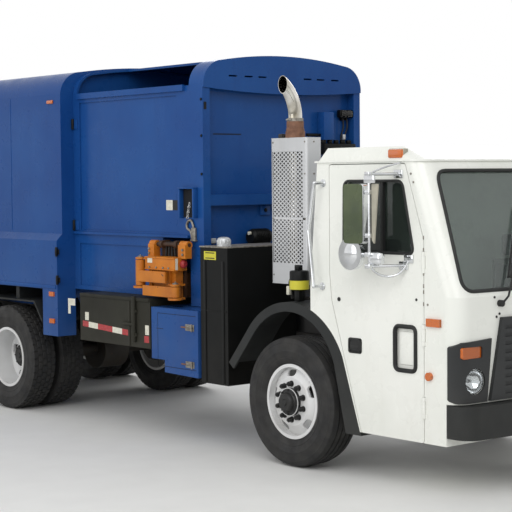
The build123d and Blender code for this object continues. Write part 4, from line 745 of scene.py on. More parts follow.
def makeGuardShell(x0, x1, top):
    # plain sheet around the openings, wrapped round the two outer corners
    look = guardLook
    low, high, seam, bottom = look["low"], look["high"], look["seam"], look["bottom"]
    outer, inner, wall = look["outerY"], look["innerY"], look["wall"]
    corner, band = look["corner"], look["bandHalf"]
    face = outer + wall
    left = x0 + corner
    right = x1 - corner
    bands = [((left, outer, bottom), (right, face, low)),
             ((left, outer, high), (right, face, top)),
             ((left, outer, low), (x0 + look["sideMargin"], face, high)),
             ((x1 - look["frontMargin"], outer, low), (right, face, high)),
             ((left, outer, seam - band), (right, face, seam + band)),
             ((x0, outer + corner, bottom), (x0 + wall, inner, top)),
             ((x1 - wall, outer + corner, bottom), (x1, inner, top)),
             ((x0 + wall, inner - wall, bottom), (x1 - wall, inner, top)),
             ((x0 + wall, face, bottom), (x1 - wall, inner - wall, bottom + wall)),
             ((x0 + wall, face, top - wall), (x1 - wall, inner - wall, top))]
    sheets = [block("sheet", start, end, 0.0) for start, end in bands]
    for x, start in ((left, 180), (right, 270)):
        turns = [math.radians(start + step * 15) for step in range(7)]
        arcs = [(x + radius * math.cos(turn), outer + corner + radius * math.sin(turn), bottom)
                for radius, order in ((corner, turns), (corner - wall, turns[::-1])) for turn in order]
        sheets.append(plate("corner", arcs, (0, 0, top - bottom)))
    shell = group("guardShell", "guardGrey", sheets, smooth=40)
    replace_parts(shell, "exhaust_guard")


def makeGuard():
    look = guardLook
    (lowX, _, _), (highX, _, top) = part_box("exhaust_guard")
    stackX = (lowX + highX) / 2
    stackY = look["stackY"]
    outer = look["outerY"]
    makeGuardMesh(lowX, highX)
    makeGuardShell(lowX, highX, top)
    # brackets under the guard, sleeve, clamp, screws and lifting lug
    half = look["bracketHalf"]
    bracket = [block("part", (stackX - half, acrossY[0], upZ[0]), (stackX + half, acrossY[1], upZ[1]), 0.004)
               for acrossY, upZ in ((look["legY"], look["legZ"]), (look["shelfY"], look["shelfZ"]))]
    group("guardBracket", "chassisBlack", bracket)
    sleeve = turned("rustSleeve", look["sleeve"], (stackX, stackY, 0), axis=(0, 0, 1), steps=40)
    dress(sleeve, "chassis", "rustSleeve")
    reach, back, z = look["clampBolt"]
    group("stackClampSet", "castGrey",
          [ring(*look["clamp"], (stackX, stackY, 0)),
           bar("part", (stackX - reach, stackY - back, z), (stackX + reach, stackY - back, z), 0.006, 8)])
    screws = [bar("screw", (x, outer - 0.004, z), (x, outer + 0.002, z), 0.007, 10, 0.001)
              for x in (lowX + 0.03, highX - 0.025) for z in look["screws"]]
    screws += [bar("screw", (highX - 0.001, stackY, z), (highX + 0.005, stackY, z), 0.007, 10, 0.001)
               for z in look["screws"]]
    group("guardScrews", "castGrey", screws)
    lugX, lugY = look["lug"]
    lugX += stackX
    group("guardLug", "chassisBlack",
          [block("part", (lugX - 0.025, lugY - 0.02, top - 0.002), (lugX + 0.025, lugY + 0.02, top + 0.035),
                 0.006),
           bar("part", (lugX - 0.035, lugY, top + 0.018), (lugX + 0.035, lugY, top + 0.018), 0.01, 12)])


makeGuard()
print("exhaust done")


# Doors: seals, handles, locks, hinges

doorLook = {
    "window": [(0.66, 1.736), (1.387, 1.736), (1.274, 2.26), (0.668, 2.26)], "windowCorner": 0.055,
    "peep": [(1.194, 0.89), (1.402, 0.89), (1.402, 1.21), (1.194, 1.21)], "peepCorner": 0.045, "seal": 0.011,
    "sash": ((1.046, 1.074), (1.74, 2.255)), "sashFace": {"right": 0.0, "left": 0.004},
    "liner": (((1.196, 1.4), (1.174, 1.178), (0.892, 1.208), 0.0),
              ((1.226, 1.37), (1.176, 1.188), (0.93, 1.172), 0.006, 3)),
    "handle": (0.706, 0.973, 0.85, 1.089), "handleRim": 0.014, "handleDepth": 0.006,
    "lock": ((0.607, -0.001, 1.37), (0.607, 0.006, 1.37), 0.016, 20, 0.002),
    "plug": ((1.41, -0.001, 1.41), (1.41, 0.004, 1.41), 0.01, 16, 0.001),
    "knuckle": (1.4815, 1.2015, 0.0045), "knuckleLow": 1.37, "knucklePitch": 0.043, "knuckleLong": 0.026,
    "knuckles": 12,
    "trim": (((0.72, 1.4), (1.128, 1.138), (1.25, 1.7), 0.004),
             ((0.85, 1.3), (1.07, 1.132), (1.36, 1.41), 0.015, 3)),
}


def sideFrame(corners, corner, y, radius):      # a round seal along an outline on the cab's side
    outline = [at(point[0], y, point[1]) for point in rounded(corners, corner)]
    return tube("seal", outline, radius, closed=True, around=3)


def makeDoors():
    look = doorLook
    for side, way in sides.items():
        body = f"door_{side}"
        face = way * cabSide
        seals = [sideFrame(look["window"], look["windowCorner"], face, look["seal"]),
                 sideFrame(look["peep"], look["peepCorner"], face, look["seal"] * 1.5),
                 sideFrame(look["peep"], look["peepCorner"], face + way * 0.008, look["seal"])]
        sashX, sashZ = look["sash"]
        seals.append(slab("sash", sashX, (face - way * 0.034, face - way * look["sashFace"][side]), sashZ))
        group(f"doorSeals_{side}", "gasketBlack", seals, body)
        group(f"peepLiner_{side}", "cabWhite", slabs(look["liner"], way=way), body)
        rear, low, front, high = look["handle"]
        corners = rounded([(rear, low), (front, low), (front, high), (rear, high)], 0.024, 5)
        bezel = plate("bezel", [at(point[0], face - way * 0.002, point[1]) for point in corners],
                      (0, way * 0.008, 0), 0.002)
        selectWhere(bezel, faceTest=lambda middle, normal: normal.y * way > 0.9)
        bpy.ops.mesh.inset(thickness=look["handleRim"])
        bpy.ops.mesh.extrude_region_move(TRANSFORM_OT_translate={"value": (0, -way * look["handleDepth"], 0)})
        leaveEdit()
        grip = slab("grip", (rear + 0.03, front - 0.03), (face, face + way * 0.012),
                    (low + 0.03, low + 0.062), 0.005)
        buttons = bars((look["lock"], look["plug"]), y=cabSide, way=way)
        group(f"doorHandle_{side}", "gasketBlack", [bezel, grip] + buttons, body)
        # knuckles of the long hinge in front
        x, y, radius = look["knuckle"]
        knuckles = []
        for index in range(look["knuckles"]):
            z = look["knuckleLow"] + index * look["knucklePitch"]
            if index % 3 != 1:
                top = z + look["knuckleLong"]
                knuckles.append(bar("knuckle", at(x, way * y, z), at(x, way * y, top), radius, 8))
        group(f"hingeKnuckles_{side}", "castGrey", knuckles, body)
        group(f"doorTrim_{side}", "dashGrey", slabs(look["trim"], way=way), body)


makeDoors()


# Mirrors: heads on a bright tube, a round mirror, brackets and the low loop

mirrorLook = {
    "outer": 1.45, "head": (0.925, 1.118, 1.81, 2.24), "headCorner": 0.03,
    "strip": ((1.182, 1.84), (1.205, 1.81), (1.245, 2.24), (1.182, 2.24)), "round": (0.95, 1.735, 0.118),
    "dish": ((0.0, 1.0), (0.006, 1.034), (0.012, 1.0), (0.03, 0.86), (0.044, 0.6), (0.052, 0.3),
             (0.055, 0.0)),
    "dishIn": 0.05, "lean": (0.35, 0.94), "tube": (1.165, 1.4275),
    "loop": ((1.165, 1.4275, 1.66), (1.175, 1.3875, 1.6), (1.225, 1.3, 1.565), (1.3, 1.22, 1.6),
             (1.34, 1.205, 1.69)),
    "brace": ((1.165, 1.4275, 2.31), (1.2, 1.33, 2.36), (1.26, 1.203, 2.39)),
    "feet": ((1.24, 2.31), (1.29, 1.65), (1.34, 1.7)), "clamps": (1.87, 2.18, 1.735, 2.31, 1.65),
    "plates": (((1.13, 1.235), (1.45, 1.43), (2.245, 2.3), 0.006),
               ((1.15, 1.27), (1.37, 1.43), (1.66, 1.752), 0.02, 3)),
}


def makeMirrors():
    look = mirrorLook
    for side, way in sides.items():
        body = f"door_{side}"
        outer = way * look["outer"]
        rear, front, low, high = look["head"]
        corners = rounded([(rear, low), (front, low), (front, high), (rear, high)], look["headCorner"], 4)
        head = plate(f"mirrorHead_{side}", [at(x, outer + way * 0.004, z) for x, z in corners],
                     (0, -way * 0.052, 0))
        # the head's colour is a painted reflection of greenery
        dress(head, body, "mirrorPaintedReflection", 20)
        corners = rounded(look["strip"], 0.008, 3)
        strip = plate(f"mirrorSide_{side}", [at(x, outer - way * 0.03, z) for x, z in corners],
                      (0, -way * 0.012, 0))
        dress(strip, body, "stripBeige")
        x, z, radius = look["round"]
        leanX, leanY = look["lean"]
        profile = [(-along, radius * share) for along, share in look["dish"]] + [(0.0, 0.0), (0.0, radius)]
        dish = turned(f"mirrorDish_{side}", profile, at(x, outer - way * look["dishIn"], z),
                      axis=(leanX, -way * leanY, 0.0), out=(leanY, way * leanX, 0), steps=40)
        dress(dish, body, "chrome")
        tubes = [tube("part", [at(x, way * y, z) for x, y, z in look[key]], radius, smooth=True)
                 for key, radius in (("loop", 0.009), ("brace", 0.007))]
        feet = slabs([((x - 0.045, x + 0.045), (1.199, 1.212), (z - 0.03, z + 0.03), 0.005)
                      for x, z in look["feet"]], way=way)
        plates = slabs(look["plates"], way=way)
        x, y = look["tube"]
        clamps = slabs([((x - 0.03, x + 0.02), (y - 0.02, y + 0.02), (z - 0.016, z + 0.016), 0.005)
                        for z in look["clamps"]], way=way)
        group(f"mirrorArms_{side}", "chrome", tubes + feet + plates + clamps, body)


makeMirrors()
print("doors and mirrors done")


# Cab front: windscreen seal, wipers, headlamps, roof lamps, handle flanges

frontLook = {
    "ahead": 1.85, "breakZ": 1.44, "lean": 0.3646, "bow": 14.425, "half": 1.2, "corner": 0.13,
    "screen": [(-1.12, 1.48), (1.12, 1.48), (1.075, 2.33), (-1.075, 2.33)], "screenCorner": 0.09,
    "seal": 0.014, "pivot": (0.79, 1.385), "elbow": (0.52, 1.74), "blade": ((0.66, 1.56), (0.36, 2.06)),
    "claws": (0.02, 0.34, 0.66, 0.98), "bolts": ((0.84, 1.43), (0.79, 1.31), (0.82, 1.29)),
    "roofLamp": (((1.12, 1.26), (1.14, 1.196), (2.424, 2.488), 0.012, 3),),
    "roofBase": (((1.112, 1.268), (1.13, 1.176), (2.416, 2.494), 0.008),),
    "flanges": ((0.439, 2.246), (0.425, 1.459)), "plugs": ((1.52, 1.38), (1.36, 2.31), (1.385, 2.25)),
}
lampLook = {
    "place": (1.803, 1.04, 0.845), "radius": 0.0912, "turn": (0.988, 0.155),
    "bowl": ((0.0, 1.0), (-0.01, 0.985), (-0.028, 0.9), (-0.05, 0.68), (-0.068, 0.4), (-0.076, 0.2),
             (-0.077, 0.0)),
    "cover": ((-0.004, 1.0), (0.002, 1.0), (0.009, 0.9), (0.015, 0.6), (0.018, 0.3), (0.019, 0.0),
              (0.016, 0.0), (0.015, 0.3), (0.012, 0.58), (0.006, 0.86), (-0.004, 0.93), (-0.004, 1.0)),
    "bulb": ((-0.076, 0.015), (-0.05, 0.015), (-0.046, 0.011), (-0.03, 0.011), (-0.024, 0.006),
             (-0.022, 0.0)),
}


def onFront(y, z, proud=0.0):      # a place on the cab's bowed, leaning face
    look = frontLook
    past = max(0.0, abs(y) - (look["half"] - look["corner"]))
    ahead = look["ahead"] - look["lean"] * max(0.0, z - look["breakZ"])
    ahead -= look["bow"] - math.sqrt(look["bow"] ** 2 - y ** 2)
    ahead -= look["corner"] - math.sqrt(look["corner"] ** 2 - past ** 2)
    return at(ahead + proud, y, z)


def onFrontBar(spot, low, high, *rest):      # a short round part that stands on the cab's face
    return bar("part", onFront(*spot, low), onFront(*spot, high), *rest)


def makeHeadlamps():
    look = lampLook
    x, y, z = look["place"]
    facing, toSide = look["turn"]
    bowls, covers, bulbs = [], [], []
    for way in sides.values():
        place = (at(x, way * y, z), (facing, way * toSide, 0.0), (-way * toSide, facing, 0.0))
        bowl, cover = ([(along, share * look["radius"]) for along, share in look[key]]
                       for key in ("bowl", "cover"))
        bowls.append(turned("bowl", bowl, *place, 48))
        covers.append(turned("cover", cover, *place, 48))
        bulbs.append(turned("bulb", look["bulb"], *place, 24))
    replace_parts(group("headlampBowls", "chrome", bowls), "headlamps")
    group("headlampCovers", "clearLens", covers)
    group("headlampBulbs", "capPale", bulbs)


def makeFront():
    look = frontLook
    corners = finely(rounded(look["screen"], look["screenCorner"]))
    outline = [onFront(spot[0], spot[1], 0.001) for spot in corners]
    dress(tube("windscreenSeal", outline, look["seal"], closed=True, around=3), "chassis", "gasketBlack")
    arms, rubbers, lamps, bases, flanges, plugs = [], [], [], [], [], []
    low, high = look["blade"]
    for way in sides.values():
        y, z = look["pivot"]
        start, end, elbow = ((way * spot[0], spot[1]) for spot in (low, high, look["elbow"]))
        arms.append(onFrontBar((way * y, z), -0.004, 0.036, 0.024, 24, 0.004))
        arms.append(tube("part", [onFront(way * y, z, 0.03), onFront(way * (y - 0.05), z + 0.05, 0.04),
                                  onFront(*elbow, 0.045)], 0.008))
        arms.append(bar("part", onFront(*start, 0.032), onFront(*end, 0.032), 0.007, 8, 0.002))
        for share in look["claws"]:
            claw = (way * (low[0] + (high[0] - low[0]) * share), low[1] + (high[1] - low[1]) * share)
            arms.append(onFrontBar(claw, 0.012, 0.034, 0.006, 8, 0.001))
        rubbers.append(bar("part", onFront(*start, 0.009), onFront(*end, 0.009), 0.008, 6, 0.001))
        arms += [onFrontBar((way * y, z), -0.002, 0.006, 0.009, 8, 0.002) for y, z in look["bolts"]]
        lamps += slabs(look["roofLamp"], way=way)
        bases += slabs(look["roofBase"], way=way)
        for x, z in look["flanges"]:
            flanges += bars([((x, 1.199, z), (x, 1.207, z), 0.03, 28, 0.002)], way=way)
            flanges += [boltHead(at(x, way * 1.206, z + shift), (0, way, 0), 0.005, 0.004)
                        for shift in (-0.02, 0.02)]
        plugs += bars([((x, 1.199, z), (x, 1.204, z), 0.008, 12, 0.001) for x, z in look["plugs"]], way=way)
    group("wipers", "gasketBlack", arms)
    group("wiperRubbers", "hose", rubbers)
    group("roofSideLamps", "amber", lamps)
    group("roofLampBases", "stripBeige", bases)
    group("handleFlanges", "chrome", flanges)
    group("cabPlugs", "castGrey", plugs)


makeHeadlamps()
makeFront()
print("cab front done")


# Hopper, right side and front sheet

hopperLook = {
    "side": -0.942, "sheet": -1.451, "hinges": ((-3.362, 2.82), (-3.362, 1.85)), "hingeOut": 0.014,
    "darkHinges": ((-3.36, 1.6), (-3.352, 1.33)), "flangeBolts": (2.972, 2.658, 2.327), "flangeX": -1.378,
    "leaf": (((0.0, 0.07), (0.0, -0.009), (-0.045, 0.045)),),
    "darkBarrel": (((0.0, -1.165, -0.045), (0.0, -1.165, 0.045), 0.014, 16, 0.003),),
    "darkLeaf": (((-0.045, 0.03), (-1.149, -1.157), (-0.025, 0.025)),),
    "pocket": (((-1.656, -1.64), (0.0, -0.05), (1.944, 2.207)),
               ((-1.46, -1.442), (0.0, -0.05), (1.944, 2.207)),
               ((-1.66, -1.438), (0.0, -0.056), (2.2, 2.212))),
    "pocketBack": (((-1.64, -1.46), (0.002, -0.004), (1.95, 2.2), 0.0),),
    "chain": ((-1.522, 2.067), (-1.553, 1.95)), "chainOut": 0.03, "links": 6, "linkTurn": (35, 80),
    "hook": ((-1.475, 1.76), (-1.478, 1.82), (-1.49, 1.865), (-1.505, 1.905), (-1.53, 1.93), (-1.565, 1.92),
             (-1.59, 1.885), (-1.58, 1.85), (-1.545, 1.84), (-1.52, 1.815), (-1.512, 1.77)),
    "hookOut": 0.0125,
    "hookFoot": (((-1.515, -1.458), (0.0, -0.026), (1.747, 1.862), 0.008, 3),
                 ((-1.522, -1.448), (0.0, -0.03), (1.744, 1.757), 0.004)),
    "paleLabel": (((-1.914, -1.82), (-0.928, -0.93), (2.01, 2.1), 0.0),),
    "darkLabel": (((-1.82, -1.723), (-0.928, -0.93), (2.01, 2.1), 0.0),),
}
sheetLook = {      # the front sheet, its rows counted from the sheet
    "slits": (((-0.001, 0.0015), (-0.758, -0.44), (2.672, 2.682), 0.0),
              ((0.089, 0.0915), (-0.93, -0.9), (2.885, 2.95), 0.0)),
    "plates": (((0.0, 0.02), (-0.235, -0.125), (1.955, 2.045), 0.004),
               ((0.0, 0.095), (0.478, 0.604), (2.634, 2.893), 0.008)),
    "plateBolt": (((0.019, -0.179, 2.0), (0.03, -0.179, 2.0), 0.018, 6, 0.002),),
    "motor": ((0.0, 0.0), (0.0, 0.055), (0.02, 0.07), (0.2, 0.07), (0.225, 0.055), (0.235, 0.03),
              (0.235, 0.0)),
    "motorAt": (0.08, -0.416, 1.765), "fins": (0.04, 0.06, 0.08, 0.1, 0.12, 0.14, 0.16, 0.18),
    "motorFoot": (((0.0, 0.12), (-0.38, -0.2), (1.67, 1.71), 0.004),),
    "motorLamp": (((0.09, -0.44, 1.80), (0.09, -0.408, 1.80), 0.016, 20, 0.003),),
    "vent": (((0.0, 0.02), (-0.86, -0.75), (1.72, 1.765), 0.004),),
    "workLamp": (((0.02, 0.08), (0.706, 0.874), (2.845, 2.917), 0.012, 3),
                 ((0.0, 0.03), (0.76, 0.82), (2.82, 2.86), 0.004)),
    "workLens": (((0.08, 0.086), (0.716, 0.864), (2.853, 2.909), 0.002),),
    "cable": ((0.04, 0.0, 2.85), (0.05, 0.02, 2.77), (0.02, -0.015, 2.66), (0.03, 0.0, 2.56)),
    "cableY": (0.76, 0.81), "fitting": (((0.025, 0.794, 2.64), (0.025, 0.794, 2.69), 0.018, 16, 0.003),),
    "rod": (((0.04, 0.31, 2.68), (0.04, 0.54, 2.68), 0.014, 12, 0.002),),
    "valves": (((0.0, 0.12), (0.46, 0.86), (2.5, 2.6), 0.008),),
    "valveCap": (((0.06, 0.5, 2.6), (0.06, 0.5, 2.635), 0.024, 20, 0.004),), "caps": 5, "capPitch": 0.08,
}


def hingeBarrels(y):
    return [bar("part", at(x, y, z - 0.05), at(x, y, z + 0.05), 0.015, 16, 0.003)
            for x, z in hopperLook["hinges"]]


def makeLatch():      # the latch pocket at the front edge, its chain and the cast hook below
    look = hopperLook
    side = look["side"]
    # the pocket's back is near-black: painted shade inside the recess
    group("pocketBackShade", "gapAndShadeDark", slabs(look["pocketBack"], y=side))
    start, end = (Vector(at(x, side - look["chainOut"], z)) for x, z in look["chain"])
    turnY, turnZ = (math.radians(angle) for angle in look["linkTurn"])
    links = []
    for index in range(look["links"]):
        odd = index % 2
        spot = start.lerp(end, index / (look["links"] - 1))
        bpy.ops.object.select_all(action="DESELECT")
        bpy.ops.mesh.primitive_torus_add(major_radius=0.011, minor_radius=0.0035, major_segments=16,
                                         minor_segments=8, location=spot,
                                         rotation=(math.radians(90), turnY * odd, turnZ * odd))
        link = bpy.context.object
        link.scale = (0.8, 1.35, 1.0)
        links.append(settle(link, "chainLink"))
    group("latchChain", "rodSteel", links)
    # the hook lies close to the sheet, clear of the arm when that is lifted
    hook = tube("part", [at(x, side - look["hookOut"], z) for x, z in look["hook"]], 0.0105, smooth=True)
    group("castHook", "castGrey", [hook] + slabs(look["hookFoot"], y=side))


def makeHopperTrim():
    look = hopperLook
    side = look["side"]
    darks = hingeBarrels(side - look["hingeOut"])
    blues = []
    for x, z in look["hinges"]:
        blues += slabs(look["leaf"], x, side, z)
    for x, z in look["darkHinges"]:
        darks += bars(look["darkBarrel"], x, z=z) + slabs(look["darkLeaf"], x, z=z)
    blues += slabs(look["pocket"], y=side)
    makeLatch()
    group("sideLabelPale", "labelWhite", slabs(look["paleLabel"]))
    group("sideLabelDark", "gasketBlack", slabs(look["darkLabel"]))
    darks += [boltHead(at(look["flangeX"], side, z), (0, -1, 0), 0.012, 0.01) for z in look["flangeBolts"]]
    # the front sheet: slits, small plate, round motor, work lamp and valves
    x = look["sheet"]
    look = sheetLook
    group("sheetSlits", "gapAndShadeDark", slabs(look["slits"], x))
    group("hopperBlues", "bodyBlue", blues + slabs(look["plates"], x))
    centre = at(x + look["motorAt"][0], *look["motorAt"][1:])
    motor = turned("motor", look["motor"], centre, steps=40)
    fins = [ring(along, along + 0.006, 0.068, 0.074, centre, (0, 1, 0)) for along in look["fins"]]
    group("hopperMotor", "tankBlack", [motor] + slabs(look["motorFoot"], x) + fins)
    group("motorLamp", "labelWhite", bars(look["motorLamp"], x))
    group("sheetVent", "capPale", slabs(look["vent"], x))
    group("workLampBody", "tankBlack", slabs(look["workLamp"], x))
    group("workLampLens", "clearLens", slabs(look["workLens"], x))
    paths = [[at(x + ahead, y + across, z) for ahead, across, z in look["cable"]] for y in look["cableY"]]
    group("workLampCables", "hose", [tube("part", path, 0.007, smooth=True) for path in paths])
    group("cableFitting", "capPale", bars(look["fitting"], x))
    darks += bars(look["plateBolt"] + look["rod"], x) + slabs(look["valves"], x)
    for index in range(look["caps"]):
        darks += bars(look["valveCap"], x, index * look["capPitch"])
    group("hopperDarks", "tankBlack", darks)


makeHopperTrim()
print("hopper trim done")


# Boxes and tanks on the right

boxLook = {
    "tankY": -1.185, "boxY": -1.2, "capAt": (-0.892, -1.1), "capRibs": 12, "capCircle": 0.056,
    "cap": ((1.717, 0.0), (1.717, 0.062), (1.735, 0.062), (1.738, 0.056), (1.78, 0.056), (1.79, 0.05),
            (1.8, 0.03), (1.802, 0.0)),
    "lip": (((-1.112, -0.738), (-0.008, 0.755), (1.712, 1.724)),),
    "label": (((-1.054, -0.894), (-0.0015, 0.001), (1.611, 1.681), 0.0),),
    "marks": (((-1.034, -0.914), (-0.0022, -0.001), (1.664, 1.672), 0.0),
              ((-1.034, -0.914), (-0.0022, -0.001), (1.62, 1.628), 0.0)),
    "seams": (((-1.09, -0.76), (-0.004, 0.0), (1.18, 1.19), 0.002),
              ((-1.06, -1.03), (-0.006, 0.0), (0.58, 1.6), 0.002),
              ((-0.82, -0.79), (-0.006, 0.0), (0.58, 1.6), 0.002)),
    "filterAt": (0.047, -1.1, 0.0), "filterBand": (1.412, 1.482, 0.0772, 0.0785),
    "filter": ((1.405, 0.0), (1.405, 0.066), (1.413, 0.074), (1.47, 0.077), (1.548, 0.077), (1.558, 0.07),
               (1.562, 0.03), (1.562, 0.0)),
    "filterKnob": (((0.03, -1.1, 1.555), (0.03, -1.1, 1.592), 0.024, 6, 0.004),),
    "filterStand": (((0.02, 0.075), (-1.13, -1.07), (1.318, 1.41), 0.004),
                    ((-0.03, 0.04), (-1.085, -1.055), (1.53, 1.6), 0.006)),
    "filterPipe": ((-0.03, -1.1, 1.5), (-0.07, -1.09, 1.49), (-0.085, -1.09, 1.43), (-0.08, -1.06, 1.33)),
    "filterValve": (((-0.1, -0.068), (-1.11, -1.08), (1.36, 1.43), 0.005),),
    "tape": ((-2.87, 0.952), (-2.118, 0.913)), "tapeSteps": (0.0, 0.13, 0.33, 0.64, 0.84, 1.0),
    "tapeHalf": 0.026, "tapeDeep": 0.0012,
    "tapeRed": (((-1.9, -1.83), (-0.0012, 0.0), (0.845, 0.905), 0.0),),
    "tapeWhite": (((-1.885, -1.83), (-0.0012, 0.0), (0.915, 1.0), 0.0),
                  ((-2.83, -2.77), (-0.0012, 0.0), (0.985, 1.06), 0.0)),
    "lid": (((-2.905, -1.82), (-0.01, 0.3), (1.205, 1.236), 0.005),
            ((-2.14, -2.11), (-0.006, 0.0), (0.8, 1.2), 0.002)),
    "rod": (((-2.03, -0.02, 0.84), (-2.03, -0.02, 1.25), 0.02, 16, 0.004),),
    "clips": (((-2.06, -2.0), (-0.02, 0.0), (1.1, 1.13)), ((-2.06, -2.0), (-0.02, 0.0), (0.89, 0.92)),
              ((-2.2, -2.03), (-0.03, 0.0), (0.985, 1.01), 0.008)),
    "skirt": (((-3.19, -3.07), (-1.152, -1.15), (1.1, 1.165), 0.0),
              ((-3.19, -3.15), (-1.152, -1.15), (1.02, 1.1), 0.0)),
    "toolSeams": (((-1.7, -1.16), (1.12, 1.124)), ((-1.7, -1.697), (0.66, 1.12)),
                  ((-1.7, -1.16), (0.66, 0.664)), ((-1.72, -1.62), (0.985, 0.989))),
    "latchZ": (1.02, 0.703), "latch": (((-1.3, -1.18), (-0.006, 0.0), (-0.026, 0.03)),
                                       ((-1.275, -1.19), (-0.022, -0.004), (0.002, 0.02), 0.005)),
    "latchPin": (((-1.2, -0.016, -0.03), (-1.2, -0.016, 0.034), 0.007, 10, 0.001),),
    "hasp": (((-1.36, -1.29), (-0.008, 0.0), (-0.004, 0.008), 0.002),),
}


def makeTank():
    look = boxLook
    y = look["tankY"]
    capX, capY = look["capAt"]
    pieces = [turned("part", look["cap"], at(capX, capY, 0), axis=(0, 0, 1), steps=40)]
    for index in range(look["capRibs"]):
        turn = 2 * math.pi * index / look["capRibs"]
        spot = (capX + look["capCircle"] * math.cos(turn), capY + look["capCircle"] * math.sin(turn))
        pieces.append(bar("part", at(*spot, 1.742), at(*spot, 1.776), 0.005, 6, 0.001))
    group("tankCap", "capPale", pieces)
    group("tankLip", "castGrey", slabs(look["lip"], y=y))
    group("tankLabel", "labelYellow", slabs(look["label"], y=y))
    group("tankLabelMarks", "gasketBlack", slabs(look["marks"], y=y))
    group("tankSeams", "tankBlack", slabs(look["seams"], y=y))


def makeFilter():      # the canister on the fender, behind the cab
    look = boxLook
    centre = at(*look["filterAt"])
    can = turned("part", look["filter"], centre, axis=(0, 0, 1), steps=40)
    group("filterSet", "tankBlack", [can] + bars(look["filterKnob"]) + slabs(look["filterStand"]))
    group("filterBand", "labelYellow", [ring(*look["filterBand"], centre)])
    pipe = tube("part", [at(*spot) for spot in look["filterPipe"]], 0.011, smooth=True)
    group("filterPipe", "hose", [pipe])
    group("filterValve", "labelWhite", slabs(look["filterValve"]))


def makeBoxes():
    look = boxLook
    y = look["boxY"]
    # battery box: reflective tape, lid, rod and latch
    reds, whites = [], []
    start, end = (Vector(at(x, y, z)) for x, z in look["tape"])
    steps = look["tapeSteps"]
    half, deep = look["tapeHalf"], look["tapeDeep"]
    for number in range(len(steps) - 1):
        low, high = start.lerp(end, steps[number]), start.lerp(end, steps[number + 1])
        outline = [spot + Vector((0, -deep, up))
                   for spot, up in ((low, -half), (high, -half), (high, half), (low, half))]
        (whites if number % 2 else reds).append(plate("tape", outline, (0, deep, 0)))
    group("tapeReds", "tapeRed", reds + slabs(look["tapeRed"], y=y))
    group("tapeWhites", "labelWhite", whites + slabs(look["tapeWhite"], y=y))
    trim = slabs(look["lid"], y=y) + bars(look["rod"], y=y) + slabs(look["clips"], y=y)
    group("batteryTrim", "boxBlack", trim)
    group("skirtLabel", "labelWhite", slabs(look["skirt"]))
    # tool box: door seam, latches and hasps
    seams = [slab("part", ahead, (y - 0.001, y + 0.001), up, 0.0) for ahead, up in look["toolSeams"]]
    group("toolSeams", "gapAndShadeDark", seams)
    latches, hasps = [], []
    for z in look["latchZ"]:
        latches += slabs(look["latch"], y=y, z=z) + bars(look["latchPin"], y=y, z=z)
        hasps += slabs(look["hasp"], y=y, z=z)
    group("toolLatches", "castGrey", latches)
    group("toolHasps", "rustSleeve", hasps)


makeTank()
makeFilter()
makeBoxes()
print("boxes done")


# Arm: hoses, labels, knob and bolts

armLook = {
    "cross": -1.132, "strip": (((-1.533, -1.5305), (0.006, 0.032), (1.498, 1.598), 0.0),
                               ((-1.93, -1.86), (-0.0015, 0.001), (1.55, 1.595), 0.0)),
    "knob": ((0.0, 0.0), (0.0, 0.03), (0.012, 0.036), (0.03, 0.034), (0.045, 0.02), (0.048, 0.0)),
    "knobAt": (-1.533, -1.05, 1.548), "endBolts": ((-1.99, -1.5), (1.63, 1.67)),
    "faceBolts": (-1.9, -1.8, -1.7, -1.62),
    "ribs": (((-1.93, -1.915), (-1.082, -1.1), (1.33, 1.49)),
             ((-1.66, -1.645), (-1.082, -1.1), (1.26, 1.49))),
    "lips": (((-1.965, -1.534), (-0.01, 0.0), (1.592, 1.605)),
             ((-1.965, -1.534), (-0.01, 0.0), (1.49, 1.502))),
    "pins": ((-2.04, 1.596), (-1.53, 1.376)), "pinY": -1.13,
    "pinCap": ((-0.001, 0.0), (-0.001, 0.026), (0.008, 0.026), (0.011, 0.02), (0.012, 0.006), (0.022, 0.006),
               (0.024, 0.0)),
    "hoses": (-1.83, -1.79, -1.75, -1.71),
    "fitting": (((0.0, -0.99, 1.4), (0.0, -0.99, 1.43), 0.014, 6, 0.002),),
    "guideX": ((-1.856, -1.852), (-1.618, -1.614)), "guideZ": (1.28, 1.43), "guideEnd": 0.85,
    "guideBolts": ((-1.845, -1.625), (1.25, 1.46)),
}


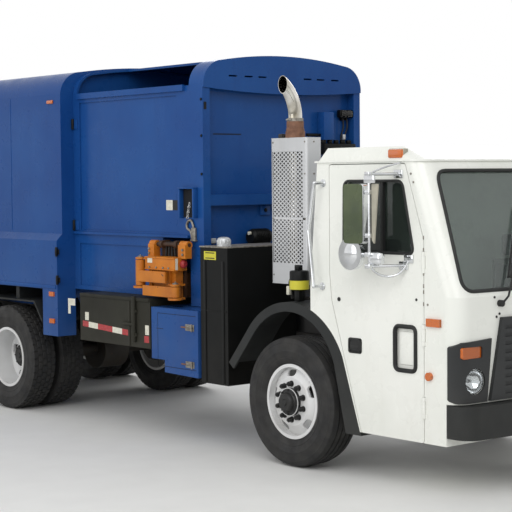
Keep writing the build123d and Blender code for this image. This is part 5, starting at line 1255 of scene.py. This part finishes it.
def makeArmTrim():
    look = armLook
    cross = look["cross"]
    group("armLabels", "labelWhite", slabs(look["strip"], y=cross), "arm_lift")
    knob = turned("armKnob", look["knob"], at(*look["knobAt"]), axis=(1, 0, 0), out=(0, 0, 1), steps=32)
    dress(knob, "arm_lift", "knobRed")
    bolts = [boltHead(at(ahead, -1.067, z), (0, -1, 0), 0.012, 0.012)
             for ahead in look["endBolts"][0] for z in look["endBolts"][1]]
    bolts += [boltHead(at(ahead, cross, 1.51), (0, -1, 0), 0.01, 0.009) for ahead in look["faceBolts"]]
    group("armBolts", "castGrey", bolts, "arm_lift")
    # welded ribs on the apron and the cross piece's folded lips
    group("armRibs", "armOrange", slabs(look["ribs"]) + slabs(look["lips"], y=cross), "arm_lift")
    # caps of the two finger pins with their grease fittings
    caps = []
    for ahead, z in look["pins"]:
        profile = [(z + along, radius) for along, radius in look["pinCap"]]
        caps.append(turned("part", profile, at(ahead, look["pinY"], 0), axis=(0, 0, 1), steps=28))
    group("fingerPinCaps", "castGrey", caps, "arm_lift")
    # hoses behind the head
    hoses, fittings = [], []
    for index, x in enumerate(look["hoses"]):
        path = [at(x, -0.99, 1.735), at(x + 0.004, -1.0, 1.66), at(x + 0.012 * (index - 1.5), -0.993, 1.55),
                at(x, -0.99, 1.42)]
        hoses.append(tube("part", path, 0.01, smooth=True))
        fittings += bars(look["fitting"], x)
    group("armHoses", "hose", hoses, "arm_carriage")
    group("armFittings", "rodSteel", fittings, "arm_carriage")
    # wear strips along the fixed guide
    end = look["guideEnd"]
    rows = [(ahead, (-end, end), (z - 0.02, z + 0.02), 0.001)
            for ahead in look["guideX"] for z in look["guideZ"]]
    group("guideStrips", "castGrey", slabs(rows))
    bolts = [boltHead(at(ahead, way * end, z), (0, way, 0), 0.009, 0.008) for way in sides.values()
             for ahead in look["guideBolts"][0] for z in look["guideBolts"][1]]
    group("guideBolts", "castGrey", bolts)


makeArmTrim()
print("arm trim done")


# Cabin: padded seats on bellows

seatLook = {
    "y": 0.76, "half": 0.236, "voxel": 0.014, "pressure": 4.0, "cap": 0.016, "frames": 20, "headHalf": 0.15,
    "base": ((0.676, 1.128), (0.99, 1.088)), "back": ((0.622, 0.722), (1.1, 1.58)),
    "head": ((0.63, 0.715), (1.625, 1.81)), "edge": 0.032, "seam": 0.012, "seamDepth": 0.009, "seamAt": 0.55,
    "folds": 8, "foldPitch": 0.055, "fold": ((0.48, 0.118), (0.5, 0.132), (0.515, 0.132), (0.53, 0.118)),
    "shell": (((0.68, 1.125), (-0.226, 0.226), (0.966, 0.995), 0.01),
              ((0.611, 0.63), (-0.226, 0.226), (1.06, 1.6), 0.008)),
    "posts": (((0.672, -0.06, 1.56), (0.672, -0.06, 1.65), 0.007, 12),
              ((0.672, 0.06, 1.56), (0.672, 0.06, 1.65), 0.007, 12)),
    "rail": (((0.72, 1.08), (-0.16, 0.16), (0.945, 0.968), 0.004),), "bellowsX": 0.97,
    "bellowsFoot": ((0.447, 0.0), (0.447, 0.13), (0.47, 0.135)),
    "bellowsTop": ((0.93, 0.125), (0.968, 0.125), (0.968, 0.0)),
}


def cushion(ahead, up, half, seams):      # a rounded block swollen by cloth pressure, with seams along it
    look = seatLook
    piece = slab("cushion", ahead, (look["y"] - half, look["y"] + half), up, look["edge"], 4)
    grid = piece.modifiers.new("grid", "REMESH")
    grid.mode = "VOXEL"
    grid.voxel_size = look["voxel"]
    pick(piece)
    bpy.ops.object.modifier_apply(modifier="grid")
    before = [vertex.co.copy() for vertex in piece.data.vertices]
    cloth = piece.modifiers.new("cloth", "CLOTH")
    cloth.settings.use_pressure = True
    cloth.settings.uniform_pressure_force = look["pressure"]
    cloth.settings.effector_weights.gravity = 0.0
    for number in range(1, look["frames"] + 1):
        bpy.context.scene.frame_set(number)
    bpy.ops.object.modifier_apply(modifier="cloth")
    bpy.context.scene.frame_set(1)
    for vertex, start in zip(piece.data.vertices, before):
        move = vertex.co - start
        if move.length > look["cap"]:
            vertex.co = start + move.normalized() * look["cap"]
    finer = piece.modifiers.new("finer", "SUBSURF")
    finer.levels = 1
    bpy.ops.object.modifier_apply(modifier="finer")
    normals = [vertex.normal.copy() for vertex in piece.data.vertices]
    for vertex, normal in zip(piece.data.vertices, normals):
        for place in seams:
            near = math.exp(-((vertex.co.y - place) / look["seam"]) ** 2)
            vertex.co -= normal * (look["seamDepth"] * near)
    return piece


def makeSeats():
    look = seatLook
    y, half = look["y"], look["half"]
    seams = [y - half * look["seamAt"], y + half * look["seamAt"]]
    base = cushion(*look["base"], half, seams)
    back = cushion(*look["back"], half, seams)
    head = cushion(*look["head"], look["headHalf"], [])
    profile = list(look["bellowsFoot"])
    for index in range(look["folds"]):
        profile += [(z + index * look["foldPitch"], radius) for z, radius in look["fold"]]
    profile += look["bellowsTop"]
    bellows = turned("bellows", profile, at(look["bellowsX"], y, 0), axis=(0, 0, 1), steps=32)
    shell = joined("shell", slabs(look["shell"], y=y) + bars(look["posts"], y=y) + slabs(look["rail"], y=y))
    for side in ("left", "right"):
        for piece, name, finish in ((base, "seatBase", "seatCloth"), (back, "seatBack", "seatCloth"),
                                    (head, "headRest", "seatCloth"), (bellows, "seatBellows", "hose"),
                                    (shell, "seatShell", "dashGrey")):
            one = mirrorY(piece, name) if side == "right" else piece
            one.name = f"{name}_{side}"
            dress(one, "chassis", finish, 60 if finish == "seatCloth" else 35)
            if one.name == "seatBase_right":
                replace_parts(one, "seats")


makeSeats()
print("seats done")


# Tailgate, body sides and left side

gateLook = {      # rear rows count from the tailgate's rear face, hinge rows from its front edge and side
    "ribY": (-0.86, -0.43, 0.0, 0.43, 0.86), "rib": (((-0.018, 0.004), (-0.05, 0.05), (1.6, 2.56), 0.014),),
    "rails": (((-0.022, 0.004), (-1.0, 1.0), (1.565, 1.655), 0.014),
              ((-0.022, 0.004), (-1.0, 1.0), (2.51, 2.6), 0.014)),
    "hem": (((-0.07, -0.004), (0.0, 0.014), (1.16, 3.08), 0.006),),
    "lampY": (-0.15, 0.0, 0.15, -0.95, 0.95),
    "lamp": (((-0.036, -0.016), (-0.05, 0.05), (2.535, 2.575), 0.008, 3),),
    "strobeY": (-0.75, 0.75), "strobe": (((-0.036, -0.018), (-0.075, 0.075), (1.585, 1.635), 0.008, 3),),
    "hook": (((-0.16, -0.02), (0.0, 0.03), (1.2, 1.3), 0.01),),
    "hookPin": (((-0.12, 0.0, 1.25), (-0.12, 0.04, 1.25), 0.024, 24, 0.004),),
    "catch": (((0.012, 0.13), (0.0, 0.03), (1.255, 1.35), 0.01),),
    "catchPin": (((0.05, 0.0, 1.3), (0.05, 0.04, 1.3), 0.02, 24, 0.004),),
    "plate": (((0.078, 0.083), (0.335, 0.635), (0.472, 0.628), 0.001),),
}


def repeated(rows, x, places):      # the same slabs at several places across
    return [piece for y in places for piece in slabs(rows, x, y)]


def makeTailgate():
    look = gateLook
    (rear, _, _), (front, wide, _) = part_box("tailgate")
    rear -= axleX
    front -= axleX
    ribs = repeated(look["rib"], rear, look["ribY"]) + slabs(look["rails"], rear)
    for way in sides.values():
        ribs += slabs(look["hem"], front, wide, way=way)
    group("tailgateRibs", "bodyBlue", ribs, "tailgate")
    group("tailgateLamps", "redLens", repeated(look["lamp"], rear, look["lampY"]), "tailgate")
    group("tailgateStrobes", "amber", repeated(look["strobe"], rear, look["strobeY"]), "tailgate")
    hooks, catches = [], []
    for way in sides.values():
        hooks += slabs(look["hook"], front, wide, way=way) + bars(look["hookPin"], front, wide, way=way)
        catches += slabs(look["catch"], front, wide, way=way) + bars(look["catchPin"], front, wide, way=way)
    group("tailgateHooks", "tankBlack", hooks, "tailgate")
    group("tailgateCatches", "tankBlack", catches)
    group("rearPlate", "labelWhite", slabs(look["plate"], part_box("rear_bumper")[0][0] - axleX))


sideLook = {
    "seams": (-4.3, -5.2, -6.1), "seam": (((0.0, 0.012), (1.083, 1.0885), (1.79, 3.1), 0.002),),
    "lip": (((-7.2, -3.4), (1.148, 1.158), (1.24, 1.275), 0.004),),
    "upperLamp": (((-0.05, 0.05), (1.08, 1.102), (3.02, 3.055), 0.008, 3),),
    "lowerLamp": (((-0.05, 0.05), (1.15, 1.17), (1.31, 1.345), 0.008, 3),), "lampX": (-3.55, -5.3, -7.1),
    "boltX": (-7.1, -5.8, -4.9, -4.0, -2.3, -1.45), "boltShift": (-0.05, 0.05), "boltZ": (0.75, 0.9),
    "railY": 0.43,
}


def makeBodySides():
    look = sideLook
    seams, ambers, reds, bolts = [], [], [], []
    front, middle, rear = look["lampX"]
    for way in sides.values():
        for x in look["seams"]:
            seams += slabs(look["seam"], x, way=way)
        seams += slabs(look["lip"], way=way)
        ambers += slabs(look["upperLamp"], front, way=way) + slabs(look["lowerLamp"], middle, way=way)
        reds += slabs(look["upperLamp"], rear, way=way)
        bolts += [boltHead(at(x + shift, way * look["railY"], z), (0, way, 0), 0.012, 0.01)
                  for x in look["boltX"] for shift in look["boltShift"] for z in look["boltZ"]]
    group("bodySeams", "bodyBlue", seams)
    group("bodyAmbers", "amber", ambers)
    group("bodyReds", "redLens", reds)
    group("railBolts", "chassisBlack", bolts)


leftLook = {
    "tank": (0.775, 0.87), "straps": (0.1, 0.95), "seams": (-0.1, 1.15), "cap": 0.8, "steps": (0.35, 0.62),
    "strap": (-0.03, 0.03, 0.2845, 0.29), "seam": (-0.006, 0.006, 0.278, 0.289),
    "capProfile": ((0.28, 0.0), (0.28, 0.05), (0.305, 0.05), (0.308, 0.062), (0.33, 0.062), (0.338, 0.05),
                   (0.34, 0.0)),
    "stepParts": (((-0.11, 0.11), (1.02, 1.13), (0.66, 0.685), 0.004),
                  ((-0.11, -0.098), (1.0, 1.06), (0.66, 0.86), 0.002),
                  ((0.098, 0.11), (1.0, 1.06), (0.66, 0.86), 0.002)),
    "cleaner": (-0.42, 0.56, 0.0), "bands": (1.55, 2.02), "band": (0.1895, 0.196),
    "hat": ((2.325, 0.17), (2.34, 0.2), (2.36, 0.204), (2.385, 0.19), (2.4, 0.15), (2.405, 0.0)),
    "ladderX": (-2.25, -1.9), "ladderY": 1.032, "sheetY": 0.928, "stays": (1.45, 2.2, 2.95),
    "rails": (1.35, 3.02), "rungs": 6, "rungLow": 1.45, "rungPitch": 0.3,
    "frontPlate": (((1.9505, 1.956), (-0.153, 0.153), (0.49, 0.642), 0.0015),),
}


def makeLeftSide():
    look = leftLook
    tankY, tankZ = look["tank"]
    pieces = []
    for x in look["straps"]:
        pieces.append(ring(*look["strap"], (x, tankY, tankZ), (1, 0, 0), (0, 0, 1), 64))
        pieces.append(block("part", (x - 0.02, 1.01, 1.03), (x + 0.02, 1.045, 1.07)))
    pieces += [ring(*look["seam"], (x, tankY, tankZ), (1, 0, 0), (0, 0, 1), 64) for x in look["seams"]]
    group("fuelStraps", "rodSteel", pieces)
    cap = turned("fuelCap", look["capProfile"], (look["cap"], tankY, tankZ), axis=(0, 0.5, 0.866), steps=32)
    dress(cap, "chassis", "capPale")
    steps = [piece for x in look["steps"] for piece in slabs(look["stepParts"], x - axleX)]
    group("tankSteps", "rodSteel", steps)
    cleaner = at(*look["cleaner"])
    bands = [ring(z, z + 0.035, *look["band"], cleaner, steps=56) for z in look["bands"]]
    group("cleanerBands", "castGrey", bands)
    dress(turned("cleanerHat", look["hat"], cleaner, axis=(0, 0, 1), steps=56), "chassis", "boxBlack")
    y = look["ladderY"]
    rear, front = look["ladderX"]
    low, high = look["rails"]
    ladder = []
    for x in (rear, front):
        ladder.append(bar("part", at(x, y, low), at(x, y, high), 0.016, 16, 0.003))
        ladder += [bar("part", at(x, look["sheetY"], z), at(x, y, z), 0.012, 12) for z in look["stays"]]
    for index in range(look["rungs"]):
        z = look["rungLow"] + index * look["rungPitch"]
        ladder.append(bar("part", at(rear, y, z), at(front, y, z), 0.014, 14))
    group("hopperLadder", "tankBlack", ladder)
    group("leftHinges", "tankBlack", hingeBarrels(hopperLook["hingeOut"] - hopperLook["side"]))
    group("frontPlate", "labelWhite", slabs(look["frontPlate"]))


makeTailgate()
makeBodySides()
makeLeftSide()
print("tailgate and sides done")
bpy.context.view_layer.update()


# Camera, light and floor

view = {"lens": 105.84, "place": (axleX + 8.86, -8.998, 2.292), "yaw": 139.78, "pitch": -2.98, "roll": -0.53}


def setCamera():
    yaw, pitch, roll = (math.radians(view[key]) for key in ("yaw", "pitch", "roll"))
    ahead = Vector((math.cos(yaw) * math.cos(pitch), math.sin(yaw) * math.cos(pitch), math.sin(pitch)))
    right = Vector((math.sin(yaw), -math.cos(yaw), 0))
    up = right.cross(ahead)
    across = right * math.cos(roll) + up * math.sin(roll)
    above = up * math.cos(roll) - right * math.sin(roll)
    bpy.ops.object.select_all(action="DESELECT")
    bpy.ops.object.camera_add(location=view["place"])
    camera = bpy.context.object
    camera.name = "photoCamera"
    turn = Matrix((across, above, -ahead)).transposed().to_4x4()
    camera.matrix_world = Matrix.Translation(view["place"]) @ turn
    camera.data.lens = view["lens"]
    camera.data.sensor_width = 36.0
    camera.data.clip_end = 200.0
    bpy.context.scene.camera = camera


lights = {
    "keyLamp": {"place": (11.0, -9.0, 10.0), "size": 9.0, "power": 620.0},
    "fillLamp": {"place": (2.0, -14.0, 6.0), "size": 10.0, "power": 420.0},
    "backLamp": {"place": (-6.0, 9.0, 9.0), "size": 9.0, "power": 500.0},
}
skyLook = {"strength": 0.62, "color": (1.0, 1.0, 1.0, 1.0), "floorSize": 120.0,
           "floorColor": screenColor(236, 236, 234), "speckle": screenColor(232, 232, 230)}


def setLights():
    for name, values in lights.items():
        bpy.ops.object.select_all(action="DESELECT")
        bpy.ops.object.light_add(type="AREA", location=values["place"])
        lamp = bpy.context.object
        lamp.name = name
        lamp.data.size = values["size"]
        lamp.data.energy = values["power"]
        aim = Vector((1.0, 0.0, 1.5)) - Vector(values["place"])
        lamp.rotation_euler = aim.to_track_quat("-Z", "Y").to_euler()
    world = bpy.data.worlds.new("paleSky")
    world.use_nodes = True
    bpy.context.scene.world = world
    tree = world.node_tree
    background = tree.nodes["Background"]
    background.inputs["Color"].default_value = skyLook["color"]
    path = tree.nodes.new("ShaderNodeLightPath")
    seen = tree.nodes.new("ShaderNodeMath")
    seen.operation = "MAXIMUM"
    tree.links.new(path.outputs["Is Camera Ray"], seen.inputs[0])
    tree.links.new(path.outputs["Is Transmission Ray"], seen.inputs[1])
    shown = tree.nodes.new("ShaderNodeMath")
    shown.operation = "MAXIMUM"
    tree.links.new(seen.outputs[0], shown.inputs[0])
    tree.links.new(path.outputs["Is Glossy Ray"], shown.inputs[1])
    level = remap(tree, shown.outputs[0], 0.0, 1.0, skyLook["strength"], 1.0)
    tree.links.new(level, background.inputs["Strength"])


def setFloor():
    bpy.ops.object.select_all(action="DESELECT")
    bpy.ops.mesh.primitive_plane_add(size=skyLook["floorSize"], location=(0, 0, 0))
    floor = bpy.context.object
    floor.name = "paleFloor"
    material, tree, shader, place = startMaterial("floorPale")
    speckle = remap(tree, noise(tree, place, 3.0, 6.0), 0.3, 0.7)
    color = blended(tree, speckle, skyLook["floorColor"], skyLook["speckle"])
    tree.links.new(color, shader.inputs["Base Color"])
    shader.inputs["Roughness"].default_value = 0.8
    floor.data.materials.append(material)


setCamera()
setLights()
setFloor()
bpy.context.scene.view_settings.view_transform = "Standard"
print("camera, light and floor done")
